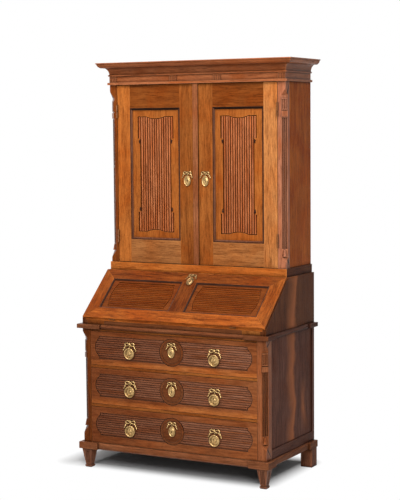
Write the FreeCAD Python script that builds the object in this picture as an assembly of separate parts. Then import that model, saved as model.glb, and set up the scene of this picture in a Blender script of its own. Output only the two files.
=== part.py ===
import FreeCAD, Part
import math
import os

V = FreeCAD.Vector

# Bureau cabinet in oak: chest of drawers, slant-front desk and two-door cabinet, in millimetres.
# X runs across the front, the front faces -Y, Z is up.
# The origin is on the floor under the middle of the outline.

# Chest of drawers
case_half = 540.0
case_depth = 582.0
side_thick = 20.0
side_panel_sunk = 5.0
side_stile = 25.0
side_rail = 48.0
back_thick = 12.0
bottom_thick = 18.0
foot_height = 103.0
base_height = 36.0
drawer_openings = {"bottom": 195.0, "middle": 194.0, "top": 182.0}
rail_height = 14.0
rail_depth = 46.0
top_rail_height = 12.0
waist_height = 22.0
post_width = 48.5
post_depth = 62.0
cant = 26.0
cant_tongue = 34.0
guide_height = 26.0
runner_width = 56.0

# Mouldings round the chest
base_strip_out = 12.0
base_block_out = 21.0
base_block_front = 114.0
base_block_side = 95.0
waist_strip_out = 15.0
waist_block_out = 23.0
waist_block_front = 140.0
waist_block_side = 95.0

# Feet
foot_top = 60.0
foot_ankle = 31.0
foot_collar = 38.0
foot_collar_height = 8.0
foot_pad = 34.0
foot_pad_height = 4.0
foot_inset = 9.0
foot_flute_radius = 2.6
foot_flute_pitch = 8.0
back_foot = 66.0
back_foot_out = 16.0

# Drawers
drawer_gap = 2.0
slide_gap = 0.3
drawer_front_thick = 20.0
drawer_side_thick = 12.0
drawer_side_inset = 2.0
drawer_side_drop = 14.0
drawer_bottom_thick = 8.0
drawer_bottom_rise = 8.0
drawer_back_gap = 50.0
cartouche_margin = 29.5
cartouche_bulge = 26.0
cartouche_height = 114.0
cartouche_shoulder = 12.0
cartouche_rise = 5.0
cartouche_count = 10
carving_depth = 4.0
carving_margin = 4.5
medallion_radius = 68.0
medallion_groove = 3.0
medallion_ring = 11.0

# Brass on the drawers
pull_x = 250.0
pull_drop = 22.0
ring_radius = 27.0
ring_wire = 3.0
ring_axle = 2.0
ring_axle_half = 4.6
ring_stand = 9.0
lug_half = 3.0
lug_radius = 4.2
axle_gap = 0.05
plate_radius = 28.0
plate_thick = 3.0
plate_boss = 9.0
plate_boss_height = 2.0
bow_half = 40.0
bow_low = 15.0
bow_high = 62.0
keyplate_half = 19.5
keyplate_high = 27.5
keyplate_bow = 52.0
keyplate_bow_half = 29.0
keyplate_thick = 3.0
keyhole_radius = 3.0
keyhole_slot = 9.0
keyhole_slot_width = 3.0
lock_half = 32.0
lock_high = 48.0
lock_thick = 12.0

# Lopers and desk
loper_width = 103.0
loper_edge = 11.0
loper_height = 21.4
loper_length = 400.0
loper_rail_depth = 40.0
bearer_width = 40.0
fall_slope = 41.6
fall_edge = 4.0
fall_length = 343.0
lip_thick = 10.0
fall_inner_thick = 10.0
fall_side_gap = 2.0
fall_lip_low = 14.0
fall_lip_high = 26.0
fall_stile = 71.0
fall_rail_low = 70.0
fall_rail_high = 65.0
fall_muntin = 84.0
fall_key_rise = 6.0
fall_slot_start = 27.0
fall_slot_length = 88.0
fall_slot_height = 4.0
fall_panel_thick = 11.0
fall_panel_sunk = 6.0
fall_bead = 5.5
fall_bead_width = 9.0
fall_field_side = 31.0
fall_field_end = 24.0
fall_field_bulge = 13.0
fall_field_shoulder = 15.0
fall_field_count = 13
fall_gap = 0.5
seat_gap = 0.3
desk_top_thick = 20.0
desk_top_over = 5.3

# Butt hinges
knuckle_radius = 4.0
knuckle_gap = 0.3
pin_radius = 2.0
leaf_thick = 2.0
fall_leaf_inset = 180.0
fall_leaf_length = 36.0
fall_leaf_bed = 24.0
fall_leaf_fall = 12.0
door_leaf_length = 70.0
door_leaf_inset = 138.0
door_leaf = 19.0
door_pin_stand = 4.5

# Pigeonholes inside the desk
nest_side_gap = 15.0
nest_clear = 25.0
nest_top_gap = 15.0
nest_board = 8.0
nest_shelf_rise = 66.0
nest_cells = 6
small_drawers = {"left": -1, "centre": 0, "right": 1}
small_back_gap = 40.0
small_board = 8.0
small_gap = 0.8
small_knob_radius = 7.0
small_knob_neck = 3.0
small_knob_length = 12.0

# Upper case
upper_inset = 18.0
upper_ledge = 11.6
upper_side_thick = 18.0
upper_post_width = 44.0
upper_post_depth = 46.0
plinth_height = 43.0
plinth_out = 6.0
plinth_depth = 40.0
door_zone = 953.0
bead_height = 12.0
bead_out = 10.0
frieze_height = 34.0
frieze_block = 43.0
frieze_block_x = 131.0
frieze_block_proud = 4.0
frieze_flute_radius = 4.5
frieze_flute_pitch = 14.0
cornice_height = 71.0
cornice_out = 57.0
cornice_inside = 24.0
upper_board = 20.0
shelf_thick = 16.0
shelf_front = 46.0
batten = 18.0

# Doors
door_thick = 22.0
door_gap = 3.0
door_edge_gap = 3.0
meet_x = 19.0
meet_gap = 2.0
hinge_stile = 77.0
meeting_stile = 82.0
meeting_strip = 29.0
meeting_strip_proud = 6.0
door_rail_low = 122.0
door_rail_high = 122.0
door_panel_thick = 11.0
door_panel_sunk = 8.0
door_bead = 7.5
door_bead_width = 12.0
door_field_side = 47.0
door_field_low = 47.0
door_field_high = 49.0
door_field_count = 15
door_field_dip = 11.0
door_field_dip_half = 56.0
door_notch_high = 118.0
door_notch_low = 106.0
door_knob_radius = 5.5
door_knob_tip = 3.6
door_knob_length = 12.0
door_keyplate_meet = 44.0
door_keyplate_rise = 440.0
bolt_length = 120.0

# Carving on the canted posts
flute_count = 3
flute_radius = 4.2
flute_pitch = 10.0
cap_width = 30.0
cap_proud = 3.4
collar_width = 34.0
collar_proud = 5.0
bell_top = 5.0
bell_low = 12.0
bell_height = 34.0

# Heights on the canted posts, measured from the post's ends
chest_cant_low = 82.0
chest_cant_high = 52.0
chest_cap_drop = 66.0
chest_cap_height = 62.0
chest_collar_height = 26.0
upper_cant_low = 58.0
upper_cant_high = 70.0
upper_cap_drop = 84.0
upper_cap_height = 60.0
upper_collar_height = 30.0
carving_space = 5.0

# Neighbouring boards of one frame step back and stand apart by this much
joint_step = 0.4
joint_gap = 0.3

# Cuts run past the faces by this much
overrun = 5.0

# Levels and faces that follow from the sizes
back_y = (case_depth + waist_block_out) / 2
front_y = back_y - case_depth
base_top = foot_height + base_height
drawer_floor = {}
level = base_top
for drawer_name in drawer_openings:
    drawer_floor[drawer_name] = level
    level = level + drawer_openings[drawer_name] + rail_height
waist_z = level - rail_height + top_rail_height
loper_z = waist_z + waist_height
bed_z = loper_z + loper_height + 2 * slide_gap
hinge_z = bed_z + lip_thick
hinge_y = front_y - fall_gap
slope = math.radians(fall_slope)
desk_top_z = hinge_z + fall_length * math.sin(slope) + desk_top_over
upper_z = desk_top_z
upper_half = case_half - upper_inset
door_z = upper_z + plinth_height
bead_z = door_z + door_zone
frieze_z = bead_z + bead_height
cornice_z = frieze_z + frieze_height
side_in = case_half - side_thick
upper_in = upper_half - upper_side_thick
post_in = case_half - post_width
drawer_half = post_in - drawer_gap
cartouche_half = drawer_half - cartouche_margin - cartouche_bulge
inner_back = back_y - back_thick
loper_in = side_in - loper_edge - loper_width
fall_half = case_half - fall_edge
fall_hinge_x = fall_half - fall_leaf_inset

nodes = {}


def box(x0, x1, y0, y1, z0, z1):
    return Part.makeBox(x1 - x0, y1 - y0, z1 - z0, V(x0, y0, z0))


def face_of(path, place):
    # An outline of (a, b) points, where (ma, mb, a, b) is an arc through (ma, mb).
    edges = []
    here = place(*path[0])
    for step in path[1:] + path[:1]:
        there = place(*step[-2:])
        if len(step) == 4:
            edges.append(Part.Arc(here, place(*step[:2]), there).toShape())
        elif here != there:
            edges.append(Part.makeLine(here, there))
        here = there
    return Part.Face(Part.Wire(edges))


def flat_prism(points, z0, z1):
    return face_of(points, lambda x, y: V(x, y, z0)).extrude(V(0, 0, z1 - z0))


def side_prism(points, x0, x1):
    return face_of(points, lambda y, z: V(x0, y, z)).extrude(V(x1 - x0, 0, 0))


def cylinder(radius, start, run):
    return Part.makeCylinder(radius, run.Length, start, run)


def mirrored(shape):
    return shape.mirror(V(0, 0, 0), V(1, 0, 0))


def moved(shape, x, y, z):
    copy = shape.copy()
    copy.translate(V(x, y, z))
    return copy


def fused(shapes):
    return shapes[0].multiFuse(shapes[1:]).removeSplitter()


def keep(name, solids):
    nodes[name] = Part.makeCompound(solids)


def both_sides(name, solids):
    # One node on the right and its mirror image on the left.
    keep(name + "_right", solids)
    keep(name + "_left", [mirrored(solid) for solid in solids])


def slope_y(z, inward):
    # The y of the fall's seat plane at a height, moved inward from the lip's inner face.
    return hinge_y + inward / math.sin(slope) + (z - hinge_z) / math.tan(slope)


desk_edge_y = slope_y(desk_top_z, seat_gap)
upper_front = desk_edge_y + upper_ledge


def reed_bank(width, length, count, height):
    # Half-round reeds along Y, side by side along X, standing on z = 0 round the origin.
    pitch = width / count
    path = [(-width / 2, -overrun), (-width / 2, 0)]
    for index in range(count):
        low = -width / 2 + pitch * index
        path.append((low + pitch / 2, height, low + pitch, 0))
    path.append((width / 2, -overrun))
    return face_of(path, lambda x, z: V(x, -length / 2, z)).extrude(V(0, length, 0))


def carved_field(outline, width, length, count, turned):
    # Reeds cut to an outline, with their feet sunk by the carving depth below z = 0.
    bank = reed_bank(width, length, count, carving_depth)
    if turned:
        bank.rotate(V(0, 0, 0), V(0, 0, 1), 90)
    bank.translate(V(0, 0, -carving_depth))
    return bank.common(flat_prism(outline, -carving_depth - overrun, overrun))


def bulged_outline(half, high, bulge, shoulder, grow):
    # A band with square shoulders and rounded ends.
    a = half + grow
    b = high + grow
    c = high - shoulder + grow
    right = [(a, -b), (a, -c), (a + bulge, 0, a, c), (a, b)]
    return right + [(-a, b), (-a, c), (-a - bulge, 0, -a, -c), (-a, -b)]


def door_outline(half, low, high, notch, dip, grow):
    # A tall field with dipped ends, stepped in at the sides between the notches.
    a = half + grow
    b = half - notch + grow
    top = high + grow
    base = low - grow
    upper_notch = high - door_notch_high + grow
    lower_notch = low + door_notch_low - grow
    dip_half = door_field_dip_half
    low_end = [(-a, base), (-dip_half, base), (0, base + dip, dip_half, base), (a, base)]
    right = [(a, lower_notch), (b, lower_notch), (b, upper_notch), (a, upper_notch)]
    high_end = [(a, top), (dip_half, top), (0, top - dip, -dip_half, top), (-a, top)]
    left = [(-a, upper_notch), (-b, upper_notch), (-b, lower_notch), (-a, lower_notch)]
    return low_end + right + high_end + left


def upright(shape, y):
    # Turns a shape that lies face up at z = 0 so that it faces the front at the given y.
    turned = shape.copy()
    turned.rotate(V(0, 0, 0), V(1, 0, 0), 90)
    turned.translate(V(0, y, 0))
    return turned


def bead_ring(x0, x1, y0, y1, z, width, height):
    # A rounded bead round a sunk panel that lies face up.
    bulge_share = 0.7
    outline = [(0, 0), (width, 0), (width * bulge_share, height * bulge_share, 0, height)]
    middle = (y0 + y1) / 2
    profile = face_of(outline, lambda a, b: V(x0 + a, middle, z + b)).OuterWire
    path = Part.makePolygon([V(x0, middle, z), V(x0, y1, z), V(x1, y1, z), V(x1, y0, z), V(x0, y0, z),
                             V(x0, middle, z)])
    return path.makePipeShell([profile], True, False, 1)


# Canted corner posts

def cant_cut(corner_x, corner_y, low, high):
    def section(z, size):
        out_x, out_y = corner_x + overrun, corner_y - overrun
        reach = size + overrun
        corner = V(out_x, out_y, z)
        points = [corner, V(out_x, corner_y + reach, z), V(corner_x - reach, out_y, z), corner]
        return Part.makePolygon(points)
    return Part.makeLoft([section(low - cant_tongue, 0), section(low, cant), section(high, cant),
                          section(high + cant_tongue, 0)], True, True)


def canted_post(width, depth, corner_x, corner_y, low, high, heights):
    cant_low, cant_high, cap_drop, cap_height, collar_height = heights

    def on_cant(shape):
        shape.rotate(V(0, 0, 0), V(0, 0, 1), 45)
        shape.translate(V(corner_x - cant / 2, corner_y + cant / 2, 0))
        return shape

    cap_high = high - cap_drop
    cap_low = cap_high - cap_height
    collar_high = cap_low - carving_space
    collar_low = collar_high - collar_height
    bell_z = low + cant_low + carving_space
    flute_low = bell_z + bell_height + carving_space
    flute_high = collar_low - carving_space
    post = box(corner_x - width, corner_x, corner_y, corner_y + depth, low, high)
    post = post.cut(cant_cut(corner_x, corner_y, low + cant_low, high - cant_high))
    cap = box(-cap_width / 2, cap_width / 2, -cap_proud, overrun, cap_low, cap_high)
    collar = box(-collar_width / 2, collar_width / 2, -collar_proud, overrun, collar_low, collar_high)
    bell = Part.makeCone(bell_low, bell_top, bell_height, V(0, 0, bell_z))
    cap_flute_radius = cap_width / (2 * flute_count + 2)
    cap_pitch = cap_width / flute_count
    cap_flutes = []
    flutes = []
    for index in range(flute_count):
        step = index - (flute_count - 1) / 2
        cap_start = V(step * cap_pitch, -cap_proud, cap_low + carving_space)
        cap_flutes.append(cylinder(cap_flute_radius, cap_start, V(0, 0, cap_height - 2 * carving_space)))
        start = V(step * flute_pitch, 0, flute_low)
        flutes.append(cylinder(flute_radius, start, V(0, 0, flute_high - flute_low)))
    cap = cap.cut(Part.makeCompound(cap_flutes))
    post = post.cut(on_cant(Part.makeCompound(flutes)))
    return fused([post, on_cant(cap), on_cant(collar), on_cant(bell)])


chest_heights = (chest_cant_low, chest_cant_high, chest_cap_drop, chest_cap_height, chest_collar_height)
chest_post = canted_post(post_width, post_depth, case_half, front_y, base_top, waist_z, chest_heights)
both_sides("corner_post", [chest_post])


# Chest sides, each a frame with a sunk panel under a plain desk side

def chest_side():
    post_back = front_y + post_depth
    stile_front = back_y - side_stile
    rail_top = base_top + side_rail
    outer = case_half
    panel_out = outer - side_panel_sunk
    stile = box(side_in, outer, stile_front, back_y, foot_height, loper_z)
    inner, face = side_in + joint_step, outer - joint_step
    low_rail = box(inner, face, front_y, stile_front, foot_height + joint_step, base_top)
    low_rail = low_rail.fuse(box(inner, face, post_back, stile_front, base_top, rail_top)).removeSplitter()
    high_rail = box(inner, face, front_y, stile_front, waist_z, loper_z)
    panel = box(side_in, panel_out, post_back, stile_front, rail_top, waist_z)
    start_z = hinge_z + (front_y - hinge_y - seat_gap / math.sin(slope)) * math.tan(slope)
    desk_points = [(front_y, loper_z), (front_y, start_z), (desk_edge_y, desk_top_z),
                   (back_y, desk_top_z), (back_y, loper_z)]
    return [stile, low_rail, high_rail, panel, side_prism(desk_points, side_in, outer)]


both_sides("side", chest_side())

# Boards of the chest
keep("bottom_board", [box(-side_in, side_in, front_y, inner_back, base_top - bottom_thick, base_top)])
keep("waist_board", [box(-side_in, side_in, front_y, inner_back, waist_z, loper_z)])


def back_boards(half, low, high, count):
    width = 2 * half / count
    boards = []
    for index in range(count):
        start = -half + width * index
        boards.append(box(start + joint_gap, start + width - joint_gap, inner_back, back_y, low, high))
    return boards


lower_back_count = 3
keep("lower_back", back_boards(side_in, foot_height, desk_top_z, lower_back_count))


# Rails between the drawers, with runners and guides behind them

def drawer_rails():
    rails = []
    start = front_y + post_depth
    names = list(drawer_openings)
    for name in names:
        floor = drawer_floor[name]
        top = floor + drawer_openings[name]
        height = top_rail_height if name == names[-1] else rail_height
        rails.append(box(-post_in, post_in, front_y, front_y + rail_depth, top, top + height))
        if name != names[0]:
            runner = box(side_in - runner_width, side_in, start, inner_back, floor - rail_height, floor)
            rails.extend([runner, mirrored(runner)])
        guide = box(drawer_half, side_in, start, inner_back, floor, floor + guide_height)
        rails.extend([guide, mirrored(guide)])
    return rails


keep("drawer_rails", drawer_rails())


# Mouldings with stepped corner blocks

def block_moulding(low, height, strip_out, block_out, block_lengths):
    block_front, block_side = block_lengths
    high = low + height
    outer = case_half + block_out
    face = front_y - block_out
    front_in = outer - block_front
    side_end = face + block_side
    back_start = back_y - block_side
    nose_share = 0.6
    nose = strip_out * nose_share
    strip_profile = [(0, low), (-strip_out + nose, low), (-strip_out, low + nose), (-strip_out, high - nose),
                     (-strip_out + nose, high), (0, high)]
    front_face = face_of(strip_profile, lambda out, z: V(-front_in, front_y + out, z))
    front_strip = front_face.extrude(V(2 * front_in, 0, 0))
    side_face = face_of(strip_profile, lambda out, z: V(case_half - out, side_end, z))
    side_strip = side_face.extrude(V(0, back_start - side_end, 0))
    corner = flat_prism([(front_in, face), (outer, face), (outer, side_end), (case_half, side_end),
                         (case_half, front_y), (front_in, front_y)], low, high)
    back_block = box(case_half, outer, back_start, back_y, low, high)
    right = [side_strip, corner, back_block]
    return [front_strip] + right + [mirrored(solid) for solid in right]


base_lengths = (base_block_front, base_block_side)
keep("base_moulding", block_moulding(foot_height, base_height, base_strip_out, base_block_out, base_lengths))
waist_lengths = (waist_block_front, waist_block_side)
keep("waist_moulding", block_moulding(waist_z, waist_height, waist_strip_out, waist_block_out, waist_lengths))


# Feet

def square(size, x, y, z):
    half = size / 2
    points = [V(x + a * half, y + b * half, z) for a, b in ((-1, -1), (1, -1), (1, 1), (-1, 1), (-1, -1))]
    return Part.makePolygon(points)


def front_foot():
    x = case_half + foot_inset - foot_top / 2
    y = front_y - foot_inset + foot_top / 2
    ankle_z = foot_pad_height + foot_collar_height
    leg = Part.makeLoft([square(foot_ankle, x, y, ankle_z), square(foot_top, x, y, foot_height)], True, True)
    lean = V(0, -(foot_top - foot_ankle) / 2, foot_height - ankle_z)
    foot_margin_share = 0.12
    for shift in (-foot_flute_pitch, 0, foot_flute_pitch):
        start = V(x + shift, y - foot_ankle / 2, ankle_z) + lean * foot_margin_share
        front_flute = cylinder(foot_flute_radius, start, lean * (1 - 2 * foot_margin_share))
        side_flute = front_flute.copy()
        side_flute.rotate(V(x, y, 0), V(0, 0, 1), 90)
        leg = leg.cut(front_flute).cut(side_flute)
    collar = Part.Face(square(foot_collar, x, y, foot_pad_height)).extrude(V(0, 0, foot_collar_height))
    pad = Part.Face(square(foot_pad, x, y, 0)).extrude(V(0, 0, foot_pad_height))
    return [leg, collar, pad]


right_foot = front_foot()
keep("front_feet", right_foot + [mirrored(solid) for solid in right_foot])
back_foot_x = case_half + back_foot_out
back_leg = box(back_foot_x - back_foot, back_foot_x, back_y - back_foot, back_y, 0, foot_height)
keep("back_feet", [back_leg, mirrored(back_leg)])


# Desk: loper rail and bearers, lopers, writing bed and top

def loper_rail():
    rail_half = loper_in - slide_gap
    outer = loper_in + loper_width + slide_gap
    start = front_y + loper_rail_depth
    rail = box(-rail_half, rail_half, front_y, start, loper_z, bed_z)
    inner_bearer = box(rail_half - bearer_width, rail_half, start, inner_back, loper_z, bed_z)
    outer_bearer = box(outer, side_in, front_y, inner_back, loper_z, bed_z)
    middle = box(-bearer_width / 2, bearer_width / 2, start, inner_back, loper_z, bed_z)
    return [rail, middle, inner_bearer, outer_bearer, mirrored(inner_bearer), mirrored(outer_bearer)]


keep("loper_rail", loper_rail())
loper_low = loper_z + slide_gap
loper_back = front_y + loper_length
loper = box(loper_in, loper_in + loper_width, front_y, loper_back, loper_low, loper_low + loper_height)
both_sides("loper", [loper])

desk_under = desk_top_z - desk_top_thick
desk_top_points = [(slope_y(desk_under, seat_gap), desk_under), (desk_edge_y, desk_top_z),
                   (inner_back, desk_top_z), (inner_back, desk_under)]
keep("desk_top", [side_prism(desk_top_points, -side_in, side_in)])


# Butt hinges along X: the fixed leaf lies under z = 0 and the moving leaf over it, both towards +Y

def hinge_leaves(length, fixed_reach, moving_reach, half_gap):
    third = length / 3
    free_y = knuckle_radius + knuckle_gap
    mid_half = third / 2
    fixed_plate = box(-length / 2, length / 2, free_y, fixed_reach, -half_gap - leaf_thick, -half_gap)
    moving_plate = box(-length / 2, length / 2, free_y, moving_reach, half_gap, half_gap + leaf_thick)
    fixed = [fixed_plate, cylinder(pin_radius, V(-length / 2, 0, 0), V(length, 0, 0))]
    for start in (-length / 2, mid_half):
        fixed.append(box(start, start + third, 0, free_y, -half_gap - leaf_thick, -half_gap))
        fixed.append(cylinder(knuckle_radius, V(start, 0, 0), V(third, 0, 0)))
    run = third - 2 * knuckle_gap
    barrel = cylinder(knuckle_radius, V(-run / 2, 0, 0), V(run, 0, 0))
    tab = box(-run / 2, run / 2, 0, free_y, half_gap, half_gap + leaf_thick)
    bore = cylinder(pin_radius + axle_gap, V(-length, 0, 0), V(2 * length, 0, 0))
    moving = fused([moving_plate, tab, barrel]).cut(bore)
    return fused(fixed), moving


def knuckle_room(length):
    room = length + 2 * knuckle_gap
    return cylinder(knuckle_radius + knuckle_gap, V(-room / 2, 0, 0), V(room, 0, 0))


fall_fixed_leaf, fall_moving_leaf = hinge_leaves(fall_leaf_length, fall_leaf_bed, fall_leaf_fall, 0)
fall_hinges = (-fall_hinge_x, fall_hinge_x)
fixed_leaves = [moved(fall_fixed_leaf, x, hinge_y, hinge_z) for x in fall_hinges]
hinge_rooms = [moved(knuckle_room(fall_leaf_length), x, hinge_y, hinge_z) for x in fall_hinges]
bed = box(-side_in, side_in, front_y, inner_back, bed_z, hinge_z)
keep("desk_board", [bed.cut(Part.makeCompound(hinge_rooms + fixed_leaves))])


# Brass keyplate with a bow, facing the front at y, and the box lock behind it

def keyhole(x, z, y0, y1):
    hole = cylinder(keyhole_radius, V(x, y0, z), V(0, y1 - y0, 0))
    slot = box(x - keyhole_slot_width / 2, x + keyhole_slot_width / 2, y0, y1, z - keyhole_slot, z)
    return hole.fuse(slot)


def bow_plate(x, low, high, half, y):
    # A plain stand-in outline for the ribbon bow: a kite with its wide part two thirds up.
    wide_share = 0.62
    wide = low + (high - low) * wide_share
    outline = [(x, low), (x + half, wide), (x, high), (x - half, wide)]
    return face_of(outline, lambda a, b: V(a, y - keyplate_thick, b)).extrude(V(0, keyplate_thick, 0))


def keyplate(x, z, y):
    ellipse = Part.Ellipse(V(x, y, z + keyplate_high), V(x + keyplate_half, y, z), V(x, y, z))
    plate = Part.Face(Part.Wire(ellipse.toShape())).extrude(V(0, -keyplate_thick, 0))
    bow = bow_plate(x, z + keyplate_half, z + keyplate_bow, keyplate_bow_half, y)
    return fused([plate, bow]).cut(keyhole(x, z, y - keyplate_thick - overrun, y + overrun))


def box_lock(x, z, y):
    return box(x - lock_half, x + lock_half, y, y + lock_thick, z - lock_high / 2, z + lock_high / 2)


# Fall, built lying flat with its outer face up and its hinge line on the X axis, then stood on the slope

def stand_fall(shape):
    shape.rotate(V(0, 0, 0), V(1, 0, 0), fall_slope)
    shape.translate(V(0, hinge_y, hinge_z))
    return shape


def frame_piece(outer_points, inner_points):
    outer = flat_prism(outer_points, 0, lip_thick)
    inner = flat_prism(inner_points, -fall_inner_thick, 0)
    return outer.fuse(inner).removeSplitter()


fall_in = side_in - fall_side_gap
fall_panel_x = fall_half - fall_stile
fall_panel_high = fall_length - fall_rail_high
fall_inner_high = fall_length - fall_lip_high
fall_key_s = fall_panel_high + fall_key_rise


def fall_frame():
    a, b, c, d = fall_half, fall_in, fall_panel_x, fall_length
    low = frame_piece([(-a, 0), (a, 0), (c, fall_rail_low), (-c, fall_rail_low)],
                      [(-b, fall_lip_low), (b, fall_lip_low), (c, fall_rail_low), (-c, fall_rail_low)])
    rooms = [moved(knuckle_room(fall_leaf_length), x, 0, 0) for x in fall_hinges]
    leaves = [moved(fall_moving_leaf, x, 0, 0) for x in fall_hinges]
    low = low.cut(Part.makeCompound(rooms + leaves))
    p, q, gap = fall_panel_high, fall_inner_high, joint_gap
    high = frame_piece([(-c, p), (c, p), (a, d), (-a, d)], [(-c, p), (c, p), (b, q), (-b, q)])
    slot_end = fall_slot_start + fall_slot_length
    slot = box(fall_slot_start, slot_end, d - fall_slot_height, d + overrun, 0, lip_thick + overrun)
    high = high.cut(flat_keyhole(fall_key_s)).cut(slot)
    stile = frame_piece([(c, fall_rail_low + gap), (a, gap), (a, d - gap), (c, p - gap)],
                        [(c, fall_rail_low + gap), (b, fall_lip_low + gap), (b, q - gap), (c, p - gap)])
    half = fall_muntin / 2
    muntin = box(-half, half, fall_rail_low, p, joint_step - fall_inner_thick, lip_thick - joint_step)
    muntin = muntin.cut(flat_keyhole(fall_key_s))
    return [stand_fall(piece) for piece in (low, high, stile, mirrored(stile), muntin)]


def flat_keyhole(s):
    hole = keyhole(0, 0, -2 * lip_thick, 2 * lip_thick)
    hole.rotate(V(0, 0, 0), V(1, 0, 0), -90)
    return moved(hole, 0, s, 0)


def fall_panel():
    x0, x1 = fall_muntin / 2, fall_panel_x
    y0, y1 = fall_rail_low, fall_panel_high
    surface = lip_thick - fall_panel_sunk
    centre_x, centre_y = (x0 + x1) / 2, (y0 + y1) / 2
    half = (x1 - x0) / 2 - fall_field_side - fall_field_bulge
    high = (y1 - y0) / 2 - fall_field_end
    outline = bulged_outline(half, high, fall_field_bulge, fall_field_shoulder, 0)
    sink = bulged_outline(half, high, fall_field_bulge, fall_field_shoulder, carving_margin)
    field = carved_field(outline, 2 * high, 2 * (half + fall_field_bulge), fall_field_count, True)
    board = box(x0, x1, y0, y1, surface - fall_panel_thick, surface)
    board = board.cut(moved(flat_prism(sink, -carving_depth, overrun), centre_x, centre_y, surface))
    panel = fused([board, moved(field, centre_x, centre_y, surface)])
    return [panel, bead_ring(x0, x1, y0, y1, surface, fall_bead_width, fall_bead)]


keep("fall_frame", fall_frame())
right_panel = fall_panel()
keep("fall_panels", [stand_fall(solid) for solid in right_panel + [mirrored(solid) for solid in right_panel]])
keep("fall_hinge_leaves", [stand_fall(moved(fall_moving_leaf, x, 0, 0)) for x in fall_hinges])


def fall_fittings():
    plate = keyplate(0, 0, 0)
    plate.rotate(V(0, 0, 0), V(1, 0, 0), -90)
    plate = moved(plate, 0, fall_key_s, lip_thick)
    lock = box(-lock_half, lock_half, fall_panel_high - lock_high / 2, fall_inner_high - slide_gap,
               -fall_inner_thick - lock_thick / 2, -fall_inner_thick)
    return [stand_fall(plate), stand_fall(lock)]


keep("fall_fittings", fall_fittings())


# Long drawers

def drawer_front(floor, opening):
    low = floor + drawer_gap
    high = floor + opening - drawer_gap
    centre_z = floor + opening / 2 + cartouche_rise
    half_height = cartouche_height / 2
    outline = bulged_outline(cartouche_half, half_height, cartouche_bulge, cartouche_shoulder, 0)
    sink = bulged_outline(cartouche_half, half_height, cartouche_bulge, cartouche_shoulder, carving_margin)
    length = 2 * (cartouche_half + cartouche_bulge)
    field = carved_field(outline, cartouche_height, length, cartouche_count, True)
    sink_radius = medallion_radius + carving_margin
    deep = carving_depth + overrun
    field = field.cut(cylinder(sink_radius, V(0, 0, -deep), V(0, 0, 2 * deep)))
    pocket = flat_prism(sink, -carving_depth, overrun)
    pocket = pocket.fuse(cylinder(sink_radius, V(0, 0, -carving_depth), V(0, 0, deep)))
    ring_out = medallion_radius - medallion_ring
    groove = cylinder(ring_out - medallion_groove, V(0, 0, -carving_depth), V(0, 0, 2 * carving_depth))
    ring = cylinder(ring_out, V(0, 0, -carving_depth / 2), V(0, 0, carving_depth)).cut(groove)
    medallion = cylinder(medallion_radius, V(0, 0, -deep), V(0, 0, deep)).cut(ring)

    def place(shape):
        return moved(upright(shape, front_y), 0, 0, centre_z)

    inside = front_y + drawer_front_thick
    board = box(-drawer_half, drawer_half, front_y, inside, low, high).cut(place(pocket))
    front = fused([board, place(field), place(medallion)])
    return front.cut(keyhole(0, centre_z, front_y - overrun, inside + overrun))


def drawer_box(floor, opening):
    low = floor + slide_gap
    high = floor + opening - drawer_side_drop
    outer = drawer_half - drawer_side_inset
    inner = outer - drawer_side_thick
    start = front_y + drawer_front_thick
    end = inner_back - drawer_back_gap
    bottom = low + drawer_bottom_rise
    side = box(inner, outer, start, end, low, high)
    back = box(-inner, inner, end - drawer_side_thick, end, bottom, high)
    base = box(-inner, inner, start, end - drawer_side_thick, bottom, bottom + drawer_bottom_thick)
    return [side, mirrored(side), back, base]


def pull_plate(x, z):
    # Round plate with a boss, a bow above it and a lug that the ring hangs from.
    axis_y = front_y - ring_stand
    plate = cylinder(plate_radius, V(x, front_y, z), V(0, -plate_thick, 0))
    boss = cylinder(plate_boss, V(x, front_y, z), V(0, -plate_thick - plate_boss_height, 0))
    bow = bow_plate(x, z + bow_low, z + bow_high, bow_half, front_y)
    lug_z = z + ring_radius
    lug = cylinder(lug_radius, V(x - lug_half, axis_y, lug_z), V(2 * lug_half, 0, 0))
    stem = box(x - lug_half, x + lug_half, axis_y, front_y, lug_z - ring_axle, lug_z + ring_axle)
    bore = cylinder(ring_axle + axle_gap, V(x - 2 * lug_half, axis_y, lug_z), V(4 * lug_half, 0, 0))
    return fused([plate, boss, bow, lug, stem]).cut(bore)


def pull_ring(x, z):
    axis_y = front_y - ring_stand
    hoop = Part.makeTorus(ring_radius, ring_wire, V(x, axis_y, z), V(0, 1, 0))
    top = z + ring_radius
    reach = ring_wire + overrun
    inside = ring_axle_half - ring_axle / 2
    hoop = hoop.cut(box(x - inside, x + inside, axis_y - reach, axis_y + reach, top - reach, top + reach))
    axle = cylinder(ring_axle, V(x - ring_axle_half, axis_y, top), V(2 * ring_axle_half, 0, 0))
    return fused([hoop, axle])


for drawer_name in drawer_openings:
    floor = drawer_floor[drawer_name]
    opening = drawer_openings[drawer_name]
    centre_z = floor + opening / 2 + cartouche_rise
    pull_z = centre_z - pull_drop
    label = "drawer_" + drawer_name
    keep(label + "_front", [drawer_front(floor, opening)])
    keep(label + "_box", drawer_box(floor, opening))
    plates = [pull_plate(-pull_x, pull_z), pull_plate(pull_x, pull_z), keyplate(0, centre_z, front_y)]
    keep(label + "_fittings", plates + [box_lock(0, centre_z, front_y + drawer_front_thick)])
    keep(label + "_ring_left", [pull_ring(-pull_x, pull_z)])
    keep(label + "_ring_right", [pull_ring(pull_x, pull_z)])


# Pigeonholes and small drawers inside the desk

nest_half = side_in - nest_side_gap
nest_floor = hinge_z
nest_shelf = nest_floor + nest_shelf_rise
nest_top = desk_under - nest_top_gap
nest_y = slope_y(nest_top, fall_inner_thick) + nest_clear
small_bay = (2 * nest_half - nest_board) / len(small_drawers)


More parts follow.
